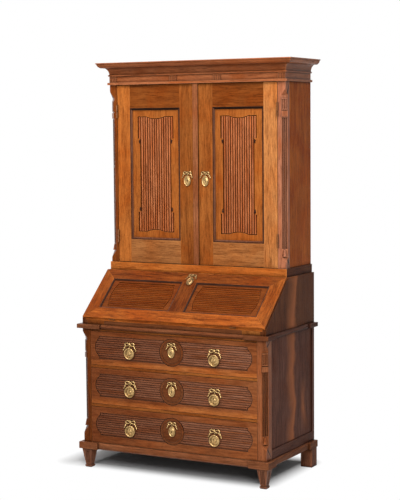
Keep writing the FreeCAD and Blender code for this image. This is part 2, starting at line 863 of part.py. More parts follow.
def pigeonholes():
    half_board = nest_board / 2
    boards = [box(-nest_half, nest_half, nest_y, inner_back, nest_top - nest_board, nest_top),
              box(-nest_half, nest_half, nest_y, inner_back, nest_shelf, nest_shelf + nest_board)]
    for side in (-1, 1):
        x = side * (nest_half - half_board)
        boards.append(box(x - half_board, x + half_board, nest_y, inner_back, nest_floor, nest_shelf))
    cell = (2 * nest_half - nest_board) / nest_cells
    for index in range(nest_cells + 1):
        x = -nest_half + half_board + cell * index
        boards.append(box(x - half_board, x + half_board, nest_y, inner_back, nest_shelf + nest_board,
                          nest_top - nest_board))
    for side in (-1, 1):
        x = side * small_bay / 2
        boards.append(box(x - half_board, x + half_board, nest_y, inner_back, nest_floor, nest_shelf))
    return boards


keep("pigeonholes", pigeonholes())


def small_drawer(side):
    middle = side * small_bay
    half = (small_bay - nest_board) / 2 - small_gap
    low = nest_floor + slide_gap
    high = nest_shelf - small_gap
    end = inner_back - small_back_gap
    start = nest_y + small_board
    inner = half - small_board
    front = box(middle - half, middle + half, nest_y, start, low, high)
    wall = box(middle + inner, middle + half, start, end, low, high)
    other = box(middle - half, middle - inner, start, end, low, high)
    back = box(middle - inner, middle + inner, end - small_board, end, low, high)
    base = box(middle - inner, middle + inner, start, end - small_board, low, low + small_board)
    knob_z = (low + high) / 2
    neck = cylinder(small_knob_neck, V(middle, nest_y, knob_z), V(0, -small_knob_length, 0))
    ball = Part.makeSphere(small_knob_radius, V(middle, nest_y - small_knob_length, knob_z))
    return [front, wall, other, back, base, fused([neck, ball])]


for small_name in small_drawers:
    keep("small_drawer_" + small_name, small_drawer(small_drawers[small_name]))


# Upper case

def mitred_run(half, face, out, inside, low, high):
    # A flat frame round the front and sides with mitred front corners: front and right runs.
    a, b = half + out, half - inside
    start, end = face - out, face + inside
    front = flat_prism([(-a, start), (a, start), (b, end), (-b, end)], low, high)
    side = flat_prism([(a, start + joint_gap), (a, back_y), (b, back_y), (b, end + joint_gap)], low, high)
    return [front, side, mirrored(side)]


plinth_in = upper_half - plinth_depth
plinth_back = box(-plinth_in, plinth_in, inner_back, back_y, upper_z, door_z)
keep("plinth", mitred_run(upper_half, upper_front, plinth_out, plinth_depth, upper_z, door_z) + [plinth_back])
plinth_y = upper_front + plinth_depth
keep("upper_bottom", [box(-plinth_in, plinth_in, plinth_y, inner_back, door_z - upper_board, door_z)])
post_back = upper_front + upper_post_depth
both_sides("upper_side", [box(upper_in, upper_half, post_back, back_y, door_z, bead_z)])
upper_heights = (upper_cant_low, upper_cant_high, upper_cap_drop, upper_cap_height, upper_collar_height)
upper_post = canted_post(upper_post_width, upper_post_depth, upper_half, upper_front, door_z, bead_z,
                         upper_heights)


def frieze():
    bead = mitred_run(upper_half, upper_front, bead_out, upper_side_thick, bead_z, frieze_z)
    boards = mitred_run(upper_half, upper_front, 0, upper_side_thick, frieze_z, cornice_z)
    corner_x = upper_half - frieze_block / 2
    blocks = []
    for x in (-corner_x, -frieze_block_x, frieze_block_x, corner_x):
        face = upper_front - frieze_block_proud
        block = box(x - frieze_block / 2, x + frieze_block / 2, face, upper_front, frieze_z, cornice_z)
        for shift in (-frieze_flute_pitch, 0, frieze_flute_pitch):
            start = V(x + shift, face, frieze_z)
            block = block.cut(cylinder(frieze_flute_radius, start, V(0, 0, frieze_height - carving_space)))
        blocks.append(block)
    return bead + boards + blocks


keep("frieze", frieze())
top_front = upper_front + upper_side_thick
keep("upper_top", [box(-upper_in, upper_in, top_front, back_y, cornice_z - upper_board, cornice_z)])


def cornice():
    # Fillet, cove, soffit, swelling crown and lip, as shares of the cornice's reach and height.
    reach, rise = cornice_out, cornice_height
    fillet_shares, cove_out_share, cove_mid_shares = (0.13, 0.11), 0.05, (0.12, 0.40)
    soffit_shares, crown_out_share = (0.36, 0.62), 0.64
    crown_mid_shares, lip_shares = (0.83, 0.73), (0.93, 0.92)
    fillet_x, fillet_z = reach * fillet_shares[0], rise * fillet_shares[1]
    cove_x, cove_z = reach * cove_mid_shares[0], rise * cove_mid_shares[1]
    soffit_x, soffit_z = reach * soffit_shares[0], rise * soffit_shares[1]
    crown_x, crown_z = reach * crown_mid_shares[0], rise * crown_mid_shares[1]
    lip_x, lip_z = reach * lip_shares[0], rise * lip_shares[1]
    profile = [(-cornice_inside, 0), (fillet_x, 0), (fillet_x, fillet_z), (reach * cove_out_share, fillet_z),
               (cove_x, cove_z, soffit_x, soffit_z), (reach * crown_out_share, soffit_z),
               (crown_x, crown_z, lip_x, lip_z), (reach, lip_z), (reach, rise), (-cornice_inside, rise)]
    edge = upper_half + reach + overrun
    low, high = cornice_z - overrun, cornice_z + rise + overrun
    front_face = face_of(profile, lambda out, z: V(-edge, upper_front - out, cornice_z + z))
    front = front_face.extrude(V(2 * edge, 0, 0))
    side_face = face_of(profile, lambda out, z: V(upper_half + out, upper_front - edge, cornice_z + z))
    side = side_face.extrude(V(0, back_y - upper_front + edge, 0))
    plans = mitred_run(upper_half, upper_front, reach + overrun, cornice_inside, low, high)
    side = side.common(plans[1])
    return [front.common(plans[0]), side, mirrored(side)]


keep("cornice", cornice())
keep("upper_back", back_boards(upper_in, door_z, cornice_z - upper_board, lower_back_count))


def shelves():
    solids = []
    shelf_shares = (0.33, 0.66)
    for share in shelf_shares:
        z = door_z + door_zone * share
        solids.append(box(-upper_in, upper_in, upper_front + shelf_front, inner_back, z, z + shelf_thick))
        strip = box(upper_in - batten, upper_in, upper_front + upper_post_depth, inner_back, z - batten, z)
        solids.extend([strip, mirrored(strip)])
    return solids


keep("shelves", shelves())

# Doors

door_edge = upper_half - upper_post_width - door_edge_gap
door_axis_x = door_edge + door_edge_gap / 2
door_axis_y = upper_front - door_pin_stand
door_low = door_z + door_gap
door_high = bead_z - door_gap
door_hinge_levels = (door_low + door_leaf_inset, door_high - door_leaf_inset)
door_leaves = hinge_leaves(door_leaf_length, door_pin_stand + door_leaf, door_pin_stand + door_leaf,
                           door_edge_gap / 2)


def door_leaf_set(leaf, side):
    placed = []
    for z in door_hinge_levels:
        copy = leaf.copy()
        copy.rotate(V(0, 0, 0), V(0, 1, 0), -side * 90)
        placed.append(moved(copy, side * door_axis_x, door_axis_y, z))
    return placed


def door(side):
    # side is -1 for the left door and 1 for the right one, x0 is its hinge edge and x1 its meeting edge.
    name = "door_left" if side < 0 else "door_right"
    hinge_x = side * door_edge
    meet_edge = meet_x + side * meet_gap / 2
    strip = meeting_strip if side < 0 else 0
    x_stile = hinge_x - side * hinge_stile
    x_meet = meet_edge + side * (meeting_stile + strip)
    y0, y1 = upper_front, upper_front + door_thick
    rail_low, rail_high = door_low + door_rail_low, door_high - door_rail_high
    low_x, high_x = min(x_stile, x_meet), max(x_stile, x_meet)
    leaves = door_leaf_set(door_leaves[1], side)
    outer = box(min(hinge_x, x_stile), max(hinge_x, x_stile), y0, y1, door_low, door_high)
    outer = outer.cut(Part.makeCompound(leaves))
    inner = box(min(meet_edge, x_meet), max(meet_edge, x_meet), y0, y1, door_low, door_high)
    if strip:
        strip_front = y0 - meeting_strip_proud
        inner = inner.fuse(box(meet_edge - strip, meet_edge, strip_front, y0, door_low, door_high))
    key_x = x_meet - side * door_keyplate_meet
    key_z = door_low + door_keyplate_rise
    inner = inner.cut(keyhole(key_x, key_z, y0 - overrun, y1 + overrun)).removeSplitter()
    rail_y0, rail_y1 = y0 + joint_step, y1 - joint_step
    low_rail = box(low_x, high_x, rail_y0, rail_y1, door_low + joint_step, rail_low)
    high_rail = box(low_x, high_x, rail_y0, rail_y1, rail_high, door_high - joint_step)
    keep(name + "_frame", [outer, inner, low_rail, high_rail])
    keep(name + "_panel", door_panel(low_x, high_x, rail_low, rail_high, y0 + door_panel_sunk))
    inside = [box_lock(key_x, key_z, y1)]
    if side < 0:
        bolt_half = lock_thick / 2
        inside = [box(key_x - bolt_half, key_x + bolt_half, y1, y1 + lock_thick, z, z + bolt_length)
                  for z in (door_low + batten, door_high - batten - bolt_length)]
    keep(name + "_fittings", [keyplate(key_x, key_z, y0)] + leaves + inside)


def door_knob(x, z, turn):
    # A drop with its tip up or down, half sunk in a panel that lies face up.
    middle = V(x, z, -carving_depth / 2)
    along = V(0, turn, 0)
    drop = Part.makeSphere(door_knob_radius, middle)
    tip = Part.makeSphere(door_knob_tip, middle + along * door_knob_length)
    neck = Part.makeCone(door_knob_radius, door_knob_tip, door_knob_length, middle, along)
    return fused([drop, neck, tip])


def door_panel(x0, x1, z0, z1, y):
    width = x1 - x0
    half = width / 2 - door_field_side
    centre_x, centre_z = (x0 + x1) / 2, (z0 + z1) / 2
    low, high = z0 + door_field_low - centre_z, z1 - door_field_high - centre_z
    notch = 2 * half / door_field_count
    outline = door_outline(half, low, high, notch, door_field_dip, 0)
    sink = door_outline(half, low, high, notch, door_field_dip, carving_margin)
    field = carved_field(outline, 2 * half, z1 - z0, door_field_count, False)
    board = box(x0 - centre_x, x1 - centre_x, z0 - centre_z, z1 - centre_z, -door_panel_thick, 0)
    board = board.cut(flat_prism(sink, -carving_depth, overrun))
    knobs = [door_knob(x * (half - notch / 2), z, turn) for x in (-1, 1)
             for z, turn in ((high - door_notch_high - notch / 2, -1), (low + door_notch_low + notch / 2, 1))]
    half_high = (z1 - z0) / 2
    bead = bead_ring(-width / 2, width / 2, -half_high, half_high, 0, door_bead_width, door_bead)
    panel = fused([board, field] + knobs)
    return [moved(upright(solid, y), centre_x, 0, centre_z) for solid in (panel, bead)]


for door_side in (-1, 1):
    door(door_side)
    fixed_leaves.extend(door_leaf_set(door_leaves[0], door_side))
keep("case_hinges", fixed_leaves)
both_sides("upper_post", [upper_post.cut(Part.makeCompound(door_leaf_set(door_leaves[0], 1)))])

os.makedirs("parts", exist_ok=True)
for node_name in nodes:
    nodes[node_name].exportStep("parts/" + node_name + ".step")
print(len(nodes), "nodes")
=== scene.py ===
import math
import bmesh
import bpy
from mathutils import Matrix, Vector


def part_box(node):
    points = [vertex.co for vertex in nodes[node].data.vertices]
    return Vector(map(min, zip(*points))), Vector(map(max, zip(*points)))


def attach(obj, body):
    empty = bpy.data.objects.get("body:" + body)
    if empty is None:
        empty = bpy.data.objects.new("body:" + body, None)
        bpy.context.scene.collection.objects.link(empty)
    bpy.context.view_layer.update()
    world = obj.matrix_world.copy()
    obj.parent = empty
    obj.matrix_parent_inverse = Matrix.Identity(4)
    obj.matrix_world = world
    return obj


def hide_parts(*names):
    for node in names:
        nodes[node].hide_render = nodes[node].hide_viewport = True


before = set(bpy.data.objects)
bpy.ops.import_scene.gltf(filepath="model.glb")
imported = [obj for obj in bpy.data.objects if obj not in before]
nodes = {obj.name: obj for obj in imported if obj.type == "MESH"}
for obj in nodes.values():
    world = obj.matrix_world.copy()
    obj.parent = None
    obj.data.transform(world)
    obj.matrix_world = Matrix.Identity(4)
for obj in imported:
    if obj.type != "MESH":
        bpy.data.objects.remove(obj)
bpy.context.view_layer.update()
scene = bpy.context.scene
scene.view_settings.view_transform = "Standard"

FALL_SLOPE = math.radians(41.6)


def linear(red, green, blue):
    # Turns an sRGB colour from 0 to 255 into the linear colour that sockets take.
    def one(value):
        value = value / 255
        return value / 12.92 if value <= 0.04045 else ((value + 0.055) / 1.055) ** 2.4
    return (one(red), one(green), one(blue), 1)


def scaled(colour, factors):
    return tuple(max(0.0, c * f) for c, f in zip(colour[:3], factors)) + (1,)


# Small helpers for node trees
class Tree:
    def __init__(self, name, holder=None):
        self.material = holder or bpy.data.materials.new(name)
        self.material.use_nodes = True
        self.nodes = self.material.node_tree.nodes
        self.links = self.material.node_tree.links
        self.shader = self.nodes.get("Principled BSDF")

    def add(self, kind, inputs=None, **settings):
        node = self.nodes.new(kind)
        for key, value in settings.items():
            setattr(node, key, value)
        for key, value in (inputs or {}).items():
            self.feed(node.inputs[key], value)
        return node

    def feed(self, socket, value):
        # Links a socket to another one, or sets its value.
        if isinstance(value, bpy.types.NodeSocket):
            self.links.new(value, socket)
        else:
            socket.default_value = value

    def noise(self, vector, scale, detail, roughness, distortion):
        inputs = {"Vector": vector, "Scale": scale, "Detail": detail, "Roughness": roughness,
                  "Distortion": distortion}
        return self.add("ShaderNodeTexNoise", inputs).outputs["Fac"]

    def ramp(self, value, stops):
        node = self.add("ShaderNodeValToRGB", {"Fac": value})
        elements = node.color_ramp.elements
        while len(elements) < len(stops):
            elements.new(0.5)
        for element, (position, colour) in zip(elements, stops):
            element.position = position
            element.color = colour if len(colour) == 4 else tuple(colour) + (1,)
        return node.outputs["Color"]

    def grey(self, value, low, high, out_low=0.0, out_high=1.0):
        node = self.add("ShaderNodeMapRange", {"Value": value, "From Min": low, "From Max": high,
                                               "To Min": out_low, "To Max": out_high})
        return node.outputs["Result"]

    def mix(self, factor, a, b, blend="MIX"):
        node = self.add("ShaderNodeMix", data_type="RGBA", blend_type=blend)
        for socket, value in ((node.inputs[0], factor), (node.inputs[6], a), (node.inputs[7], b)):
            self.feed(socket, value)
        return node.outputs[2]

    def times(self, tint, factors):
        return self.mix(1.0, tint, factors, "MULTIPLY")

    def vector(self, operation, a, b):
        return self.add("ShaderNodeVectorMath", {0: a, 1: b}, operation=operation).outputs[0]

    def emboss(self, height, strength, deep):
        node = self.add("ShaderNodeBump", {"Height": height, "Strength": strength, "Distance": deep})
        self.plug("Normal", node.outputs["Normal"])

    def math(self, operation, *values):
        node = self.add("ShaderNodeMath", operation=operation)
        for socket, value in zip(node.inputs, values):
            self.feed(socket, value)
        return node.outputs[0]

    def blend(self, *parts):
        # The sum of values, each with its share.
        total = 0.0
        for value, share in parts:
            total = self.math("MULTIPLY_ADD", value, share, total)
        return total

    def nearby(self, reach, inside=False):
        # Less than one where other faces lie within reach.
        node = self.add("ShaderNodeAmbientOcclusion", {"Distance": reach}, samples=8, inside=inside)
        return node.outputs["AO"]

    def plug(self, key, value):
        self.feed(self.shader.inputs[key], value)


# Oak: streaks, figure, flecks and blotches along the grain, dirt and painted shade in the corners, wear and
# painted highlights on the edges
GRAIN = {"x": (0.09, 1.0, 1.0), "y": (1.0, 0.09, 1.0), "z": (1.0, 1.0, 0.09)}
# Noises: scale per metre, detail, roughness and distortion
BROAD, STREAK, FIBRE = (30, 4, 0.55, 1.2), (120, 6, 0.68, 0.6), (420, 4, 0.6, 0.2)
FLECKS, MOTTLE, BLOTCH = (260, 3, 0.6, 0.0), (120, 5, 0.72, 0.2), (7.0, 4, 0.55, 0.5)
WARMTH, LUMPS = (4.0, 3, 0.5, 0.8), (18, 4, 0.55, 0.0)
# Moves the pattern from board to board
BOARD_SHIFT = (17.3, 11.7, 13.9)
# Lines of the grain: shares of the noises, levels of dark, plain and light, changes of red, green and blue
BROAD_SHARE, STREAK_SHARE, FIBRE_SHARE = 0.34, 0.46, 0.20
LINE_DARK, LINE_PLAIN, LINE_LIGHT = 0.40, 0.50, 0.60
LINE_LOSS, LINE_GAIN = (0.55, 0.62, 0.66), (0.46, 0.54, 0.56)
# Marks: levels of the noise from none to full, share of the mark, factors on red, green and blue
BLOTCHED = (0.46, 0.70), 0.50, (0.55, 0.44, 0.40)
SPECKLED = (0.52, 0.64), 0.32, (0.40, 0.31, 0.28)
PALED = (0.46, 0.34), 0.28, (1.60, 1.66, 1.66)
FLECKED = (0.56, 0.66), 0.60, (0.16, 0.12, 0.11)
WARM_LEVELS, WARM_TINT = (0.42, 0.66), (0.90, 0.72, 0.54, 1)
# Dirt and painted shade where other faces lie near: levels of the nearness from full to none, and factors on
# the colour
DIRT_AND_SHADE_LEVELS, DIRT_AND_SHADE_TINT = (0.45, 0.98), (0.05, 0.04, 0.05)
# Wear and a painted highlight on convex edges: levels from full to none, and factors on the colour
WEAR_AND_HIGHLIGHT_LEVELS, WEAR_AND_HIGHLIGHT_TINT = (0.40, 0.90), (2.0, 2.3, 2.7)
# Half the width that the painted side light runs over, and a lighter foot's soft edge, height and factors
PAINTED_SIDE_HALF = 0.5
FOOT_SOFT, FOOT_HIGH, FOOT_LIGHTER = 0.002, 0.030, (1.60, 1.65, 1.30, 1)
# How far in from a convex edge the wear and painted highlight reach
EDGE_HIGHLIGHT_REACH = 0.004
# Polish, and the heights that the noises add to the surface
POLISH_TINT = (1.0, 0.78, 0.58, 1)
ROUGH_LEVELS, ROUGH_LOW, ROUGH_HIGH = (0.3, 0.7), 0.24, 0.40
FIBRE_RISE, FLECK_RISE, LUMP_RISE = 0.3, -0.5, 2.0
OAK_BUMP, OAK_BUMP_DEEP = 0.35, 0.0012


# Options set how much dirt and painted shade gathers in corners, how much wear and painted highlight the
# edges get, the painted light from side to side, the painted sheen streaks and the lighter feet of drawer
# fronts
def oak(name, colour, grain, reach=0.018, dirt=0.97, contrast=0.78, gloss=0.08, wear_and_highlight=0.3, painted_side_light=None,
        paler=False, feet=()):
    tree = Tree(name)
    place = tree.add("ShaderNodeTexCoord").outputs["Object"]
    island = tree.add("ShaderNodeNewGeometry").outputs["Random Per Island"]
    spread = tree.add("ShaderNodeCombineXYZ", {"X": island, "Y": island, "Z": island}).outputs[0]
    shift = tree.vector("MULTIPLY", spread, BOARD_SHIFT)
    apart = tree.add("ShaderNodeSeparateXYZ", {0: place}).outputs
    spot = place
    if grain == "slope":
        turn = {"Vector": place, "Axis": (1, 0, 0), "Angle": -FALL_SLOPE}
        spot = tree.add("ShaderNodeVectorRotate", turn, rotation_type="AXIS_ANGLE").outputs[0]
    spot = tree.vector("ADD", spot, shift)
    along = tree.vector("MULTIPLY", spot, GRAIN["y" if grain == "slope" else grain])
    broad = tree.noise(along, *BROAD)
    streak = tree.noise(along, *STREAK)
    fibre = tree.noise(along, *FIBRE)
    flecks = tree.noise(along, *FLECKS)
    mottle = tree.noise(spot, *MOTTLE)
    blotch = tree.noise(along, *BLOTCH)
    warm = tree.noise(spot, *WARMTH)
    lumps = tree.noise(spot, *LUMPS)
    base = linear(*colour)

    def marked(tint, noise, levels, share, factors):
        return tree.mix(tree.grey(noise, *levels, 0.0, share * contrast), tint, scaled(base, factors))

    lines = tree.blend((broad, BROAD_SHARE), (streak, STREAK_SHARE), (fibre, FIBRE_SHARE))
    dark = scaled(base, [1 - loss * contrast for loss in LINE_LOSS])
    light = scaled(base, [1 + gain * contrast for gain in LINE_GAIN])
    tint = tree.ramp(lines, [(LINE_DARK, dark), (LINE_PLAIN, base), (LINE_LIGHT, light)])
    tint = marked(tint, blotch, *BLOTCHED)
    tint = marked(tint, mottle, *SPECKLED)
    tint = marked(tint, mottle, *PALED)
    tint = marked(tint, flecks, *FLECKED)
    tint = tree.mix(tree.grey(warm, *WARM_LEVELS), tint, tree.times(tint, WARM_TINT))
    # Painted light from side to side: darker at the left, lighter and greyer at the right
    if painted_side_light:
        low, high = painted_side_light
        level = tree.grey(apart["X"], -PAINTED_SIDE_HALF, PAINTED_SIDE_HALF)
        tint = tree.mix(level, tree.times(tint, low), tree.times(tint, high))
    for foot in feet:
        above = tree.grey(apart["Z"], foot - FOOT_SOFT, foot)
        below = tree.grey(apart["Z"], foot + FOOT_HIGH, foot + FOOT_HIGH / 2)
        tint = tree.mix(tree.math("MULTIPLY", above, below), tint, tree.times(tint, FOOT_LIGHTER))
    # Painted sheen: pale streaks down the sides of the chest
    if paler:
        tint = painted_sheen_streaks(tree, tint, apart, spot)
    # Dirt and painted shade where other faces lie near
    around = tree.nearby(reach)
    tint = tree.mix(tree.grey(around, *DIRT_AND_SHADE_LEVELS, dirt, 0.0), tint, scaled(base, DIRT_AND_SHADE_TINT))
    # Wear and a painted highlight on convex edges
    edge = tree.nearby(EDGE_HIGHLIGHT_REACH, inside=True)
    tint = tree.mix(tree.grey(edge, *WEAR_AND_HIGHLIGHT_LEVELS, wear_and_highlight, 0.0), tint, scaled(base, WEAR_AND_HIGHLIGHT_TINT))
    tree.plug("Base Color", tint)
    tree.plug("Roughness", tree.grey(mottle, *ROUGH_LEVELS, ROUGH_LOW, ROUGH_HIGH))
    tree.plug("Specular IOR Level", gloss)
    tree.plug("Specular Tint", POLISH_TINT)
    pores = tree.grey(flecks, *FLECKED[0])
    height = tree.blend((fibre, FIBRE_RISE), (pores, FLECK_RISE), (lumps, LUMP_RISE))
    tree.emboss(height, OAK_BUMP, OAK_BUMP_DEEP)
    return tree.material


# Two streaks of painted sheen down a chest side, in metres from front to back, the second one only low down
SHEEN_COLOUR = (176, 104, 62)
BENDING, BEND_LEVELS, STREAK_BEND = (5.0, 3, 0.5, 0.0), (0.3, 0.7), 0.03
FIRST_STREAK, FIRST_MIX = (-0.05, 0.17), 0.9
SECOND_STREAK, SECOND_MIX = (0.10, 0.28), 0.8
SECOND_HEIGHT = (0.18, 0.52)
# Where, between its ends, each streak starts, is palest and stops
FIRST_SHAPE, SECOND_SHAPE, HEIGHT_SHAPE = (0.10, 0.50, 0.62), (0.25, 0.50, 0.70), (0.1, 0.45, 0.95)


def painted_sheen_streaks(tree, tint, apart, spot):
    def band(value, ends, start, peak, stop):
        black, white = (0, 0, 0), (1, 1, 1)
        return tree.ramp(tree.grey(value, *ends), [(start, black), (peak, white), (stop, black)])

    bend = tree.grey(tree.noise(spot, *BENDING), *BEND_LEVELS, -STREAK_BEND, STREAK_BEND)
    across = tree.math("ADD", apart["Y"], bend)
    first = band(across, FIRST_STREAK, *FIRST_SHAPE)
    second = band(across, SECOND_STREAK, *SECOND_SHAPE)
    low = band(apart["Z"], SECOND_HEIGHT, *HEIGHT_SHAPE)
    pale = linear(*SHEEN_COLOUR)
    tint = tree.mix(tree.math("MULTIPLY", first, FIRST_MIX), tint, pale)
    second = tree.math("MULTIPLY", tree.math("MULTIPLY", second, low), SECOND_MIX)
    return tree.mix(second, tint, pale)


# Brass: tarnish in patches, specks in the polish, dirt in the corners
TARNISH, SPECKS = (70, 5, 0.62, 0.3), (420, 3, 0.6, 0.0)
TARNISH_LEVELS, SPECK_LEVELS, BRASS_DIRT_LEVELS = (0.30, 0.52, 0.72), (0.3, 0.7), (0.30, 0.95)
TARNISH_DARK, TARNISH_LIGHT, BRASS_DIRT = (0.42, 0.36, 0.28), (1.25, 1.24, 1.22), (0.10, 0.07, 0.05)
BRASS_REACH = 0.006
BRASS_METAL = 0.92
BRASS_SMOOTHER, BRASS_ROUGHER = 0.06, 0.12
BRASS_BUMP, BRASS_BUMP_DEEP = 0.25, 0.0006


def brass(name, colour, rough, dirt):
    tree = Tree(name)
    place = tree.add("ShaderNodeTexCoord").outputs["Object"]
    tarnish = tree.noise(place, *TARNISH)
    specks = tree.noise(place, *SPECKS)
    base = linear(*colour)
    shades = scaled(base, TARNISH_DARK), base, scaled(base, TARNISH_LIGHT)
    tint = tree.ramp(tarnish, list(zip(TARNISH_LEVELS, shades)))
    around = tree.nearby(BRASS_REACH)
    tint = tree.mix(tree.grey(around, *BRASS_DIRT_LEVELS, dirt, 0.0), tint, scaled(base, BRASS_DIRT))
    tree.plug("Base Color", tint)
    tree.plug("Metallic", BRASS_METAL)
    rough = tree.grey(specks, *SPECK_LEVELS, rough - BRASS_SMOOTHER, rough + BRASS_ROUGHER)
    tree.plug("Roughness", rough)
    tree.emboss(tarnish, BRASS_BUMP, BRASS_BUMP_DEEP)
    return tree.material


# Stains of the oak as sRGB colours, and each tone as a stain and its share of brightness
STAINS = {"golden": (172, 98, 42), "paler": (188, 120, 66), "red": (150, 75, 27), "grey": (128, 82, 60),
          "dark": (96, 59, 46), "rosy": (168, 100, 62), "umber": (142, 80, 44), "amber": (164, 87, 33),
          "plain": (158, 112, 70)}
TONE_SHARES = {
    "door_light": ("golden", 1.00), "door_deep": ("golden", 0.83), "door_mid": ("golden", 0.88),
    "door_pale": ("paler", 0.96), "door_rail": ("amber", 0.75), "door_foot": ("paler", 0.84),
    "door_panel": ("golden", 0.95), "strip": ("rosy", 0.82), "knob": ("dark", 0.60),
    "bead": ("dark", 0.70), "bead_top_shade": ("dark", 0.40), "bead_highlight": ("grey", 0.84),
    "crest_highlight": ("rosy", 1.03), "valley_shade": ("red", 0.84),
    "fall": ("amber", 0.97), "fall_stile": ("amber", 0.88), "fall_deep": ("red", 0.80),
    "fall_muntin": ("red", 0.74), "fall_panel": ("red", 0.80),
    "fall_bead_shade": ("dark", 0.55), "fall_bead_shade_lit": ("dark", 0.80),
    "fall_crest": ("red", 0.80), "fall_valley_shade": ("red", 0.77),
    "drawer": ("umber", 0.92), "drawer_wall_shade": ("dark", 0.36), "medallion": ("umber", 0.76),
    "reeds": ("grey", 0.97), "reed_valley_shade": ("grey", 0.91),
    "rail": ("golden", 0.80), "loper_rail": ("umber", 0.74),
    # The left posts are painted darker, as shade, and the right ones lighter and greyer, as sheen
    "post_left": ("red", 0.68), "post": ("rosy", 0.84), "flute": ("dark", 0.56),
    "upper_post_left": ("red", 0.80), "upper_post": ("grey", 1.34),
    "side": ("dark", 1.06), "side_rail": ("dark", 1.00),
    "desk_side": ("umber", 0.70), "upper_side": ("amber", 1.12),
    "waist": ("rosy", 0.68), "waist_side_shade": ("dark", 0.86),
    "base": ("rosy", 0.74), "base_side_shade": ("rosy", 0.70),
    "plinth": ("golden", 1.07), "plinth_side_shade": ("umber", 0.68),
    "cornice": ("rosy", 0.95), "cornice_top": ("rosy", 0.80), "frieze": ("rosy", 1.04),
    "foot": ("grey", 0.98), "back_foot": ("grey", 1.00),
    "inside": ("plain", 1.00), "nest": ("golden", 0.90), "back": ("plain", 0.78), "under": ("dark", 0.44)}
# Carved work, with dirt and painted shade close in its corners
CARVED = ("door_panel", "bead", "bead_top_shade", "bead_highlight", "crest_highlight", "valley_shade", "knob", "fall_panel",
          "fall_bead_shade", "fall_bead_shade_lit", "fall_crest", "fall_valley_shade", "drawer", "drawer_wall_shade", "medallion",
          "reeds", "reed_valley_shade", "post_left", "post", "upper_post_left", "upper_post", "flute", "foot",
          "frieze", "cornice")
CARVED_FINISH = {"reach": 0.010, "dirt": 1.0, "contrast": 0.7, "wear_and_highlight": 0.3}
# The frame of the fall is more figured than the rest
FIGURED = ("fall", "fall_stile", "fall_deep", "fall_muntin")
FIGURED_CONTRAST = 1.15
# Reeds that show faintly, with little dirt and painted shade in their grooves and little wear and painted
# highlight on their edges
FAINT = ("reeds", "reed_valley_shade", "fall_crest", "fall_valley_shade")
FAINT_FINISH = {"reach": 0.022, "dirt": 0.40, "contrast": 0.6, "wear_and_highlight": 0.1}
# Broad painted shade and dirt under the members of the cornice and along the beads of the panels
SHADED = ("door_panel", "fall_panel", "cornice", "frieze")
SHADED_REACH = 0.045
# Faces that are seen at a slant, which adds to their gloss, so that they get less of it
SIDEWAYS = ("upper_side", "side", "side_rail", "desk_side", "waist_side_shade", "plinth_side_shade", "base_side_shade",
            "back_foot", "back", "under")
SIDEWAYS_GLOSS = 0.02
# Painted light across the chest: its left is painted darker, as shade, and its right lighter and greyer, as
# sheen
PAINTED_SIDE_LIT = ("drawer", "reeds", "reed_valley_shade", "medallion", "rail")
PAINTED_SIDE_LIGHT = ((0.76, 0.68, 0.62, 1), (1.16, 1.22, 1.26, 1))
# The chest sides with streaks of painted sheen
SHEEN_STREAKED = ("side", "desk_side")
# The feet of the upper two drawer fronts are lighter and more golden
DRAWERS = ("bottom", "middle", "top")
DRAWER_FEET = [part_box("drawer_" + name + "_front")[0].z for name in DRAWERS[1:]]
made = {}


def stain(tone):
    name, share = TONE_SHARES[tone]
    return tuple(value * share for value in STAINS[name])


def wood(tone, grain):
    key = tone + "_" + grain
    if key not in made:
        options = dict(CARVED_FINISH) if tone in CARVED else {}
        if tone in FIGURED:
            options["contrast"] = FIGURED_CONTRAST
        if tone in FAINT:
            options.update(FAINT_FINISH)
        if tone in SHADED:
            options["reach"] = SHADED_REACH
        if tone == "cornice_top":
            options["gloss"] = 0.0
        if tone in SIDEWAYS:
            options["gloss"] = SIDEWAYS_GLOSS
        made[key] = oak("oak_" + key, stain(tone), grain, painted_side_light=PAINTED_SIDE_LIGHT if tone in PAINTED_SIDE_LIT else None,
                        paler=tone in SHEEN_STREAKED, feet=DRAWER_FEET if tone == "drawer" else (), **options)
    return made[key]


# Widths of the softened edges, in metres
BOARD_EDGE, MOULDING_EDGE, FOOT_EDGE, BOX_EDGE, SMALL_EDGE = 0.0012, 0.0015, 0.003, 0.0008, 0.0006
WELD_NEAR = 0.00005
FLAT_ANGLE, EDGE_ANGLE = math.radians(0.5), math.radians(38)
# Cosine of the largest turn at which a face still counts as facing a way
FACING, REARWARD = 0.99, 0.9
# Digits of a length in metres that keep tenths of a millimetre and micrometres
TENTHS, MICROMETRES = 4, 6


def dress(name, rule, bevel=BOARD_EDGE, carved=False):
    # Gives a node its oak by face, from rule(centre, normal), and softens the edges of plain boards.
    obj = nodes[name]
    mesh = obj.data
    mesh.materials.clear()
    slots = {}
    for face in mesh.polygons:
        key = rule(face.center, face.normal)
        if key not in slots:
            slots[key] = len(slots)
            mesh.materials.append(wood(*key))
        face.material_index = slots[key]
        face.use_smooth = True
    if carved:
        return
    if "custom_normal" in mesh.attributes:
        mesh.attributes.remove(mesh.attributes["custom_normal"])
    weld = obj.modifiers.new("weld", "WELD")
    weld.merge_threshold = WELD_NEAR
    flat = obj.modifiers.new("flat", "DECIMATE")
    flat.decimate_type = "DISSOLVE"
    flat.angle_limit = FLAT_ANGLE
    flat.delimit = {"MATERIAL"}
    soft = obj.modifiers.new("soft", "BEVEL")
    soft.width = bevel
    soft.segments = 2
    soft.limit_method = "ANGLE"
    soft.angle_limit = EDGE_ANGLE
    even = obj.modifiers.new("even", "WEIGHTED_NORMAL")
    even.keep_sharp = True


def all_of(tone, grain):
    return lambda centre, normal: (tone, grain)


